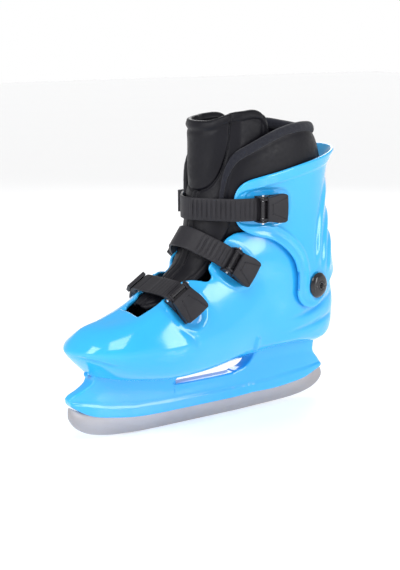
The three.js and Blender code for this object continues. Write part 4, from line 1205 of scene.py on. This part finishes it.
def build_stitches(name, lines):
    """Short raised thread stitches along each line of (place, normal)."""
    verts, faces = [], []
    for line in lines:
        places = np.array([q for q, _ in line])
        normals = unit(np.array([m for _, m in line]))
        for k in range(0, len(places) - 1):
            way = places[k + 1] - places[k]
            step = np.linalg.norm(way)
            if step < 0.3:
                continue
            way = way / step
            across = unit(np.cross(way, normals[k]))
            start = len(verts)
            for share, r in ((0.12, 0.12), (0.22, 0.3), (0.5, 0.36), (0.78, 0.3), (0.88, 0.12)):
                mid = places[k] + way * step * share + normals[k] * 0.12
                for turn in np.linspace(0, 2 * math.pi, 6, endpoint=False):
                    verts.append(mid + r * (math.cos(turn) * across + math.sin(turn) * normals[k]))
            faces += [*grid_faces(5, 6, False, True, start), range(start, start + 6)[::-1],
                      range(start + 24, start + 30)]
    bend_with_cuff(make(name, world(np.array(verts)), faces, THREAD, weld=1e-7))


# ---- Small hardware that keeps its CAD shape ----
def finish_hardware():
    kinds = {
        "buckle_base": CHARCOAL, "buckle_pawl": GLOSS, "lever_axle": CHROME, "strap_keeper": CHARCOAL,
        "buckle_rivet": ZINC, "strap_rivet": ZINC, "sole_screw": ZINC, "ankle_nut": ZINC,
    }
    for name, obj in frame["nodes"].items():
        for kind, material in kinds.items():
            if name.startswith(kind):
                paint(obj, material)
                bevel = obj.modifiers.new("edges", "BEVEL")
                bevel.width = 0.25 * MM
                bevel.segments = 3
                bevel.limit_method = "ANGLE"
                bevel.angle_limit = math.radians(35)
                obj.data.shade_smooth()
                obj.data.set_sharp_from_angle(angle=math.radians(35))


build_shell()
build_holder()
build_runner()
build_cuff()
for strap in STRAPS:
    build_strap(strap)
    build_lever(strap)
build_cap("outer", 1)
build_cap("inner", -1)
build_collar()
build_binding()
build_foot_liner()
build_insole()
build_tongue()
finish_hardware()


# ---- Stage ----
def build_stage():
    floor_mesh = bpy.data.meshes.new("floor")
    reach = 6.0
    corners = [(x * reach, y * reach, 0) for x, y in ((-1, -1), (1, -1), (1, 1), (-1, 1))]
    floor_mesh.from_pydata(corners, [], [(0, 1, 2, 3)])
    floor = bpy.data.objects.new("floor", floor_mesh)
    floor.location.z = cad_low.z - 0.0002
    bpy.context.scene.collection.objects.link(floor)
    paint(floor, surface("floor", (0.93, 0.935, 0.95), (0.95, 0.955, 0.965), (3, 2), Roughness=0.22,
                         Specular_IOR_Level=0.35, Emission_Color=(1.0, 1.0, 1.0, 1), Emission_Strength=0.3))

    def softbox(name, where, aim, size, power):
        data = bpy.data.lights.new(name, "AREA")
        data.shape = "RECTANGLE"
        data.size, data.size_y = size
        data.energy = power
        lamp = bpy.data.objects.new(name, data)
        lamp.location = where
        lamp.rotation_euler = (Vector(aim) - Vector(where)).to_track_quat("-Z", "Y").to_euler()
        bpy.context.scene.collection.objects.link(lamp)

    softbox("key", (0.55, 0.75, 1.25), (0, 0, 0.1), (0.7, 0.7), 8)
    softbox("window_left", (1.25, 0.05, 0.75), (0, 0, 0.12), (0.45, 0.9), 8)
    softbox("side", (-0.65, 1.15, 0.55), (-0.05, 0, 0.12), (0.35, 0.8), 6)
    softbox("back", (-0.9, -0.9, 0.9), (0, 0, 0.15), (0.8, 0.8), 7)
    sky = bpy.data.worlds.new("studio")
    bpy.context.scene.world = sky
    sky.use_nodes = True
    tree = sky.node_tree
    split = add(tree, "SeparateXYZ", {"Vector": add(tree, "TexCoord").outputs["Generated"]})
    light = ramp(tree, split.outputs["Z"], 1.0, 0.42, 0.1, 0.35)
    connect(tree, tree.nodes["Background"], {"Strength": light, "Color": (1.0, 1.0, 1.0, 1)})


def build_camera():
    azimuth, elevation = math.radians(143), math.radians(11.433)
    distance, target = 1.2, Vector((SHIFT[0], SHIFT[1], 0.12))
    back = Vector((math.sin(azimuth) * math.cos(elevation), -math.cos(azimuth) * math.cos(elevation),
                   math.sin(elevation)))
    data = bpy.data.cameras.new("camera")
    data.sensor_width = 36
    data.lens = 83.93
    data.shift_x = -0.00468
    data.shift_y = 0.00634
    camera = bpy.data.objects.new("camera", data)
    camera.location = target + back * distance
    camera.rotation_mode = "QUATERNION"
    camera.rotation_quaternion = (-back).to_track_quat("-Z", "Y")
    bpy.context.scene.collection.objects.link(camera)
    bpy.context.scene.camera = camera
    bpy.context.scene.view_settings.view_transform = "Standard"


build_stage()
build_camera()
bpy.context.view_layer.update()
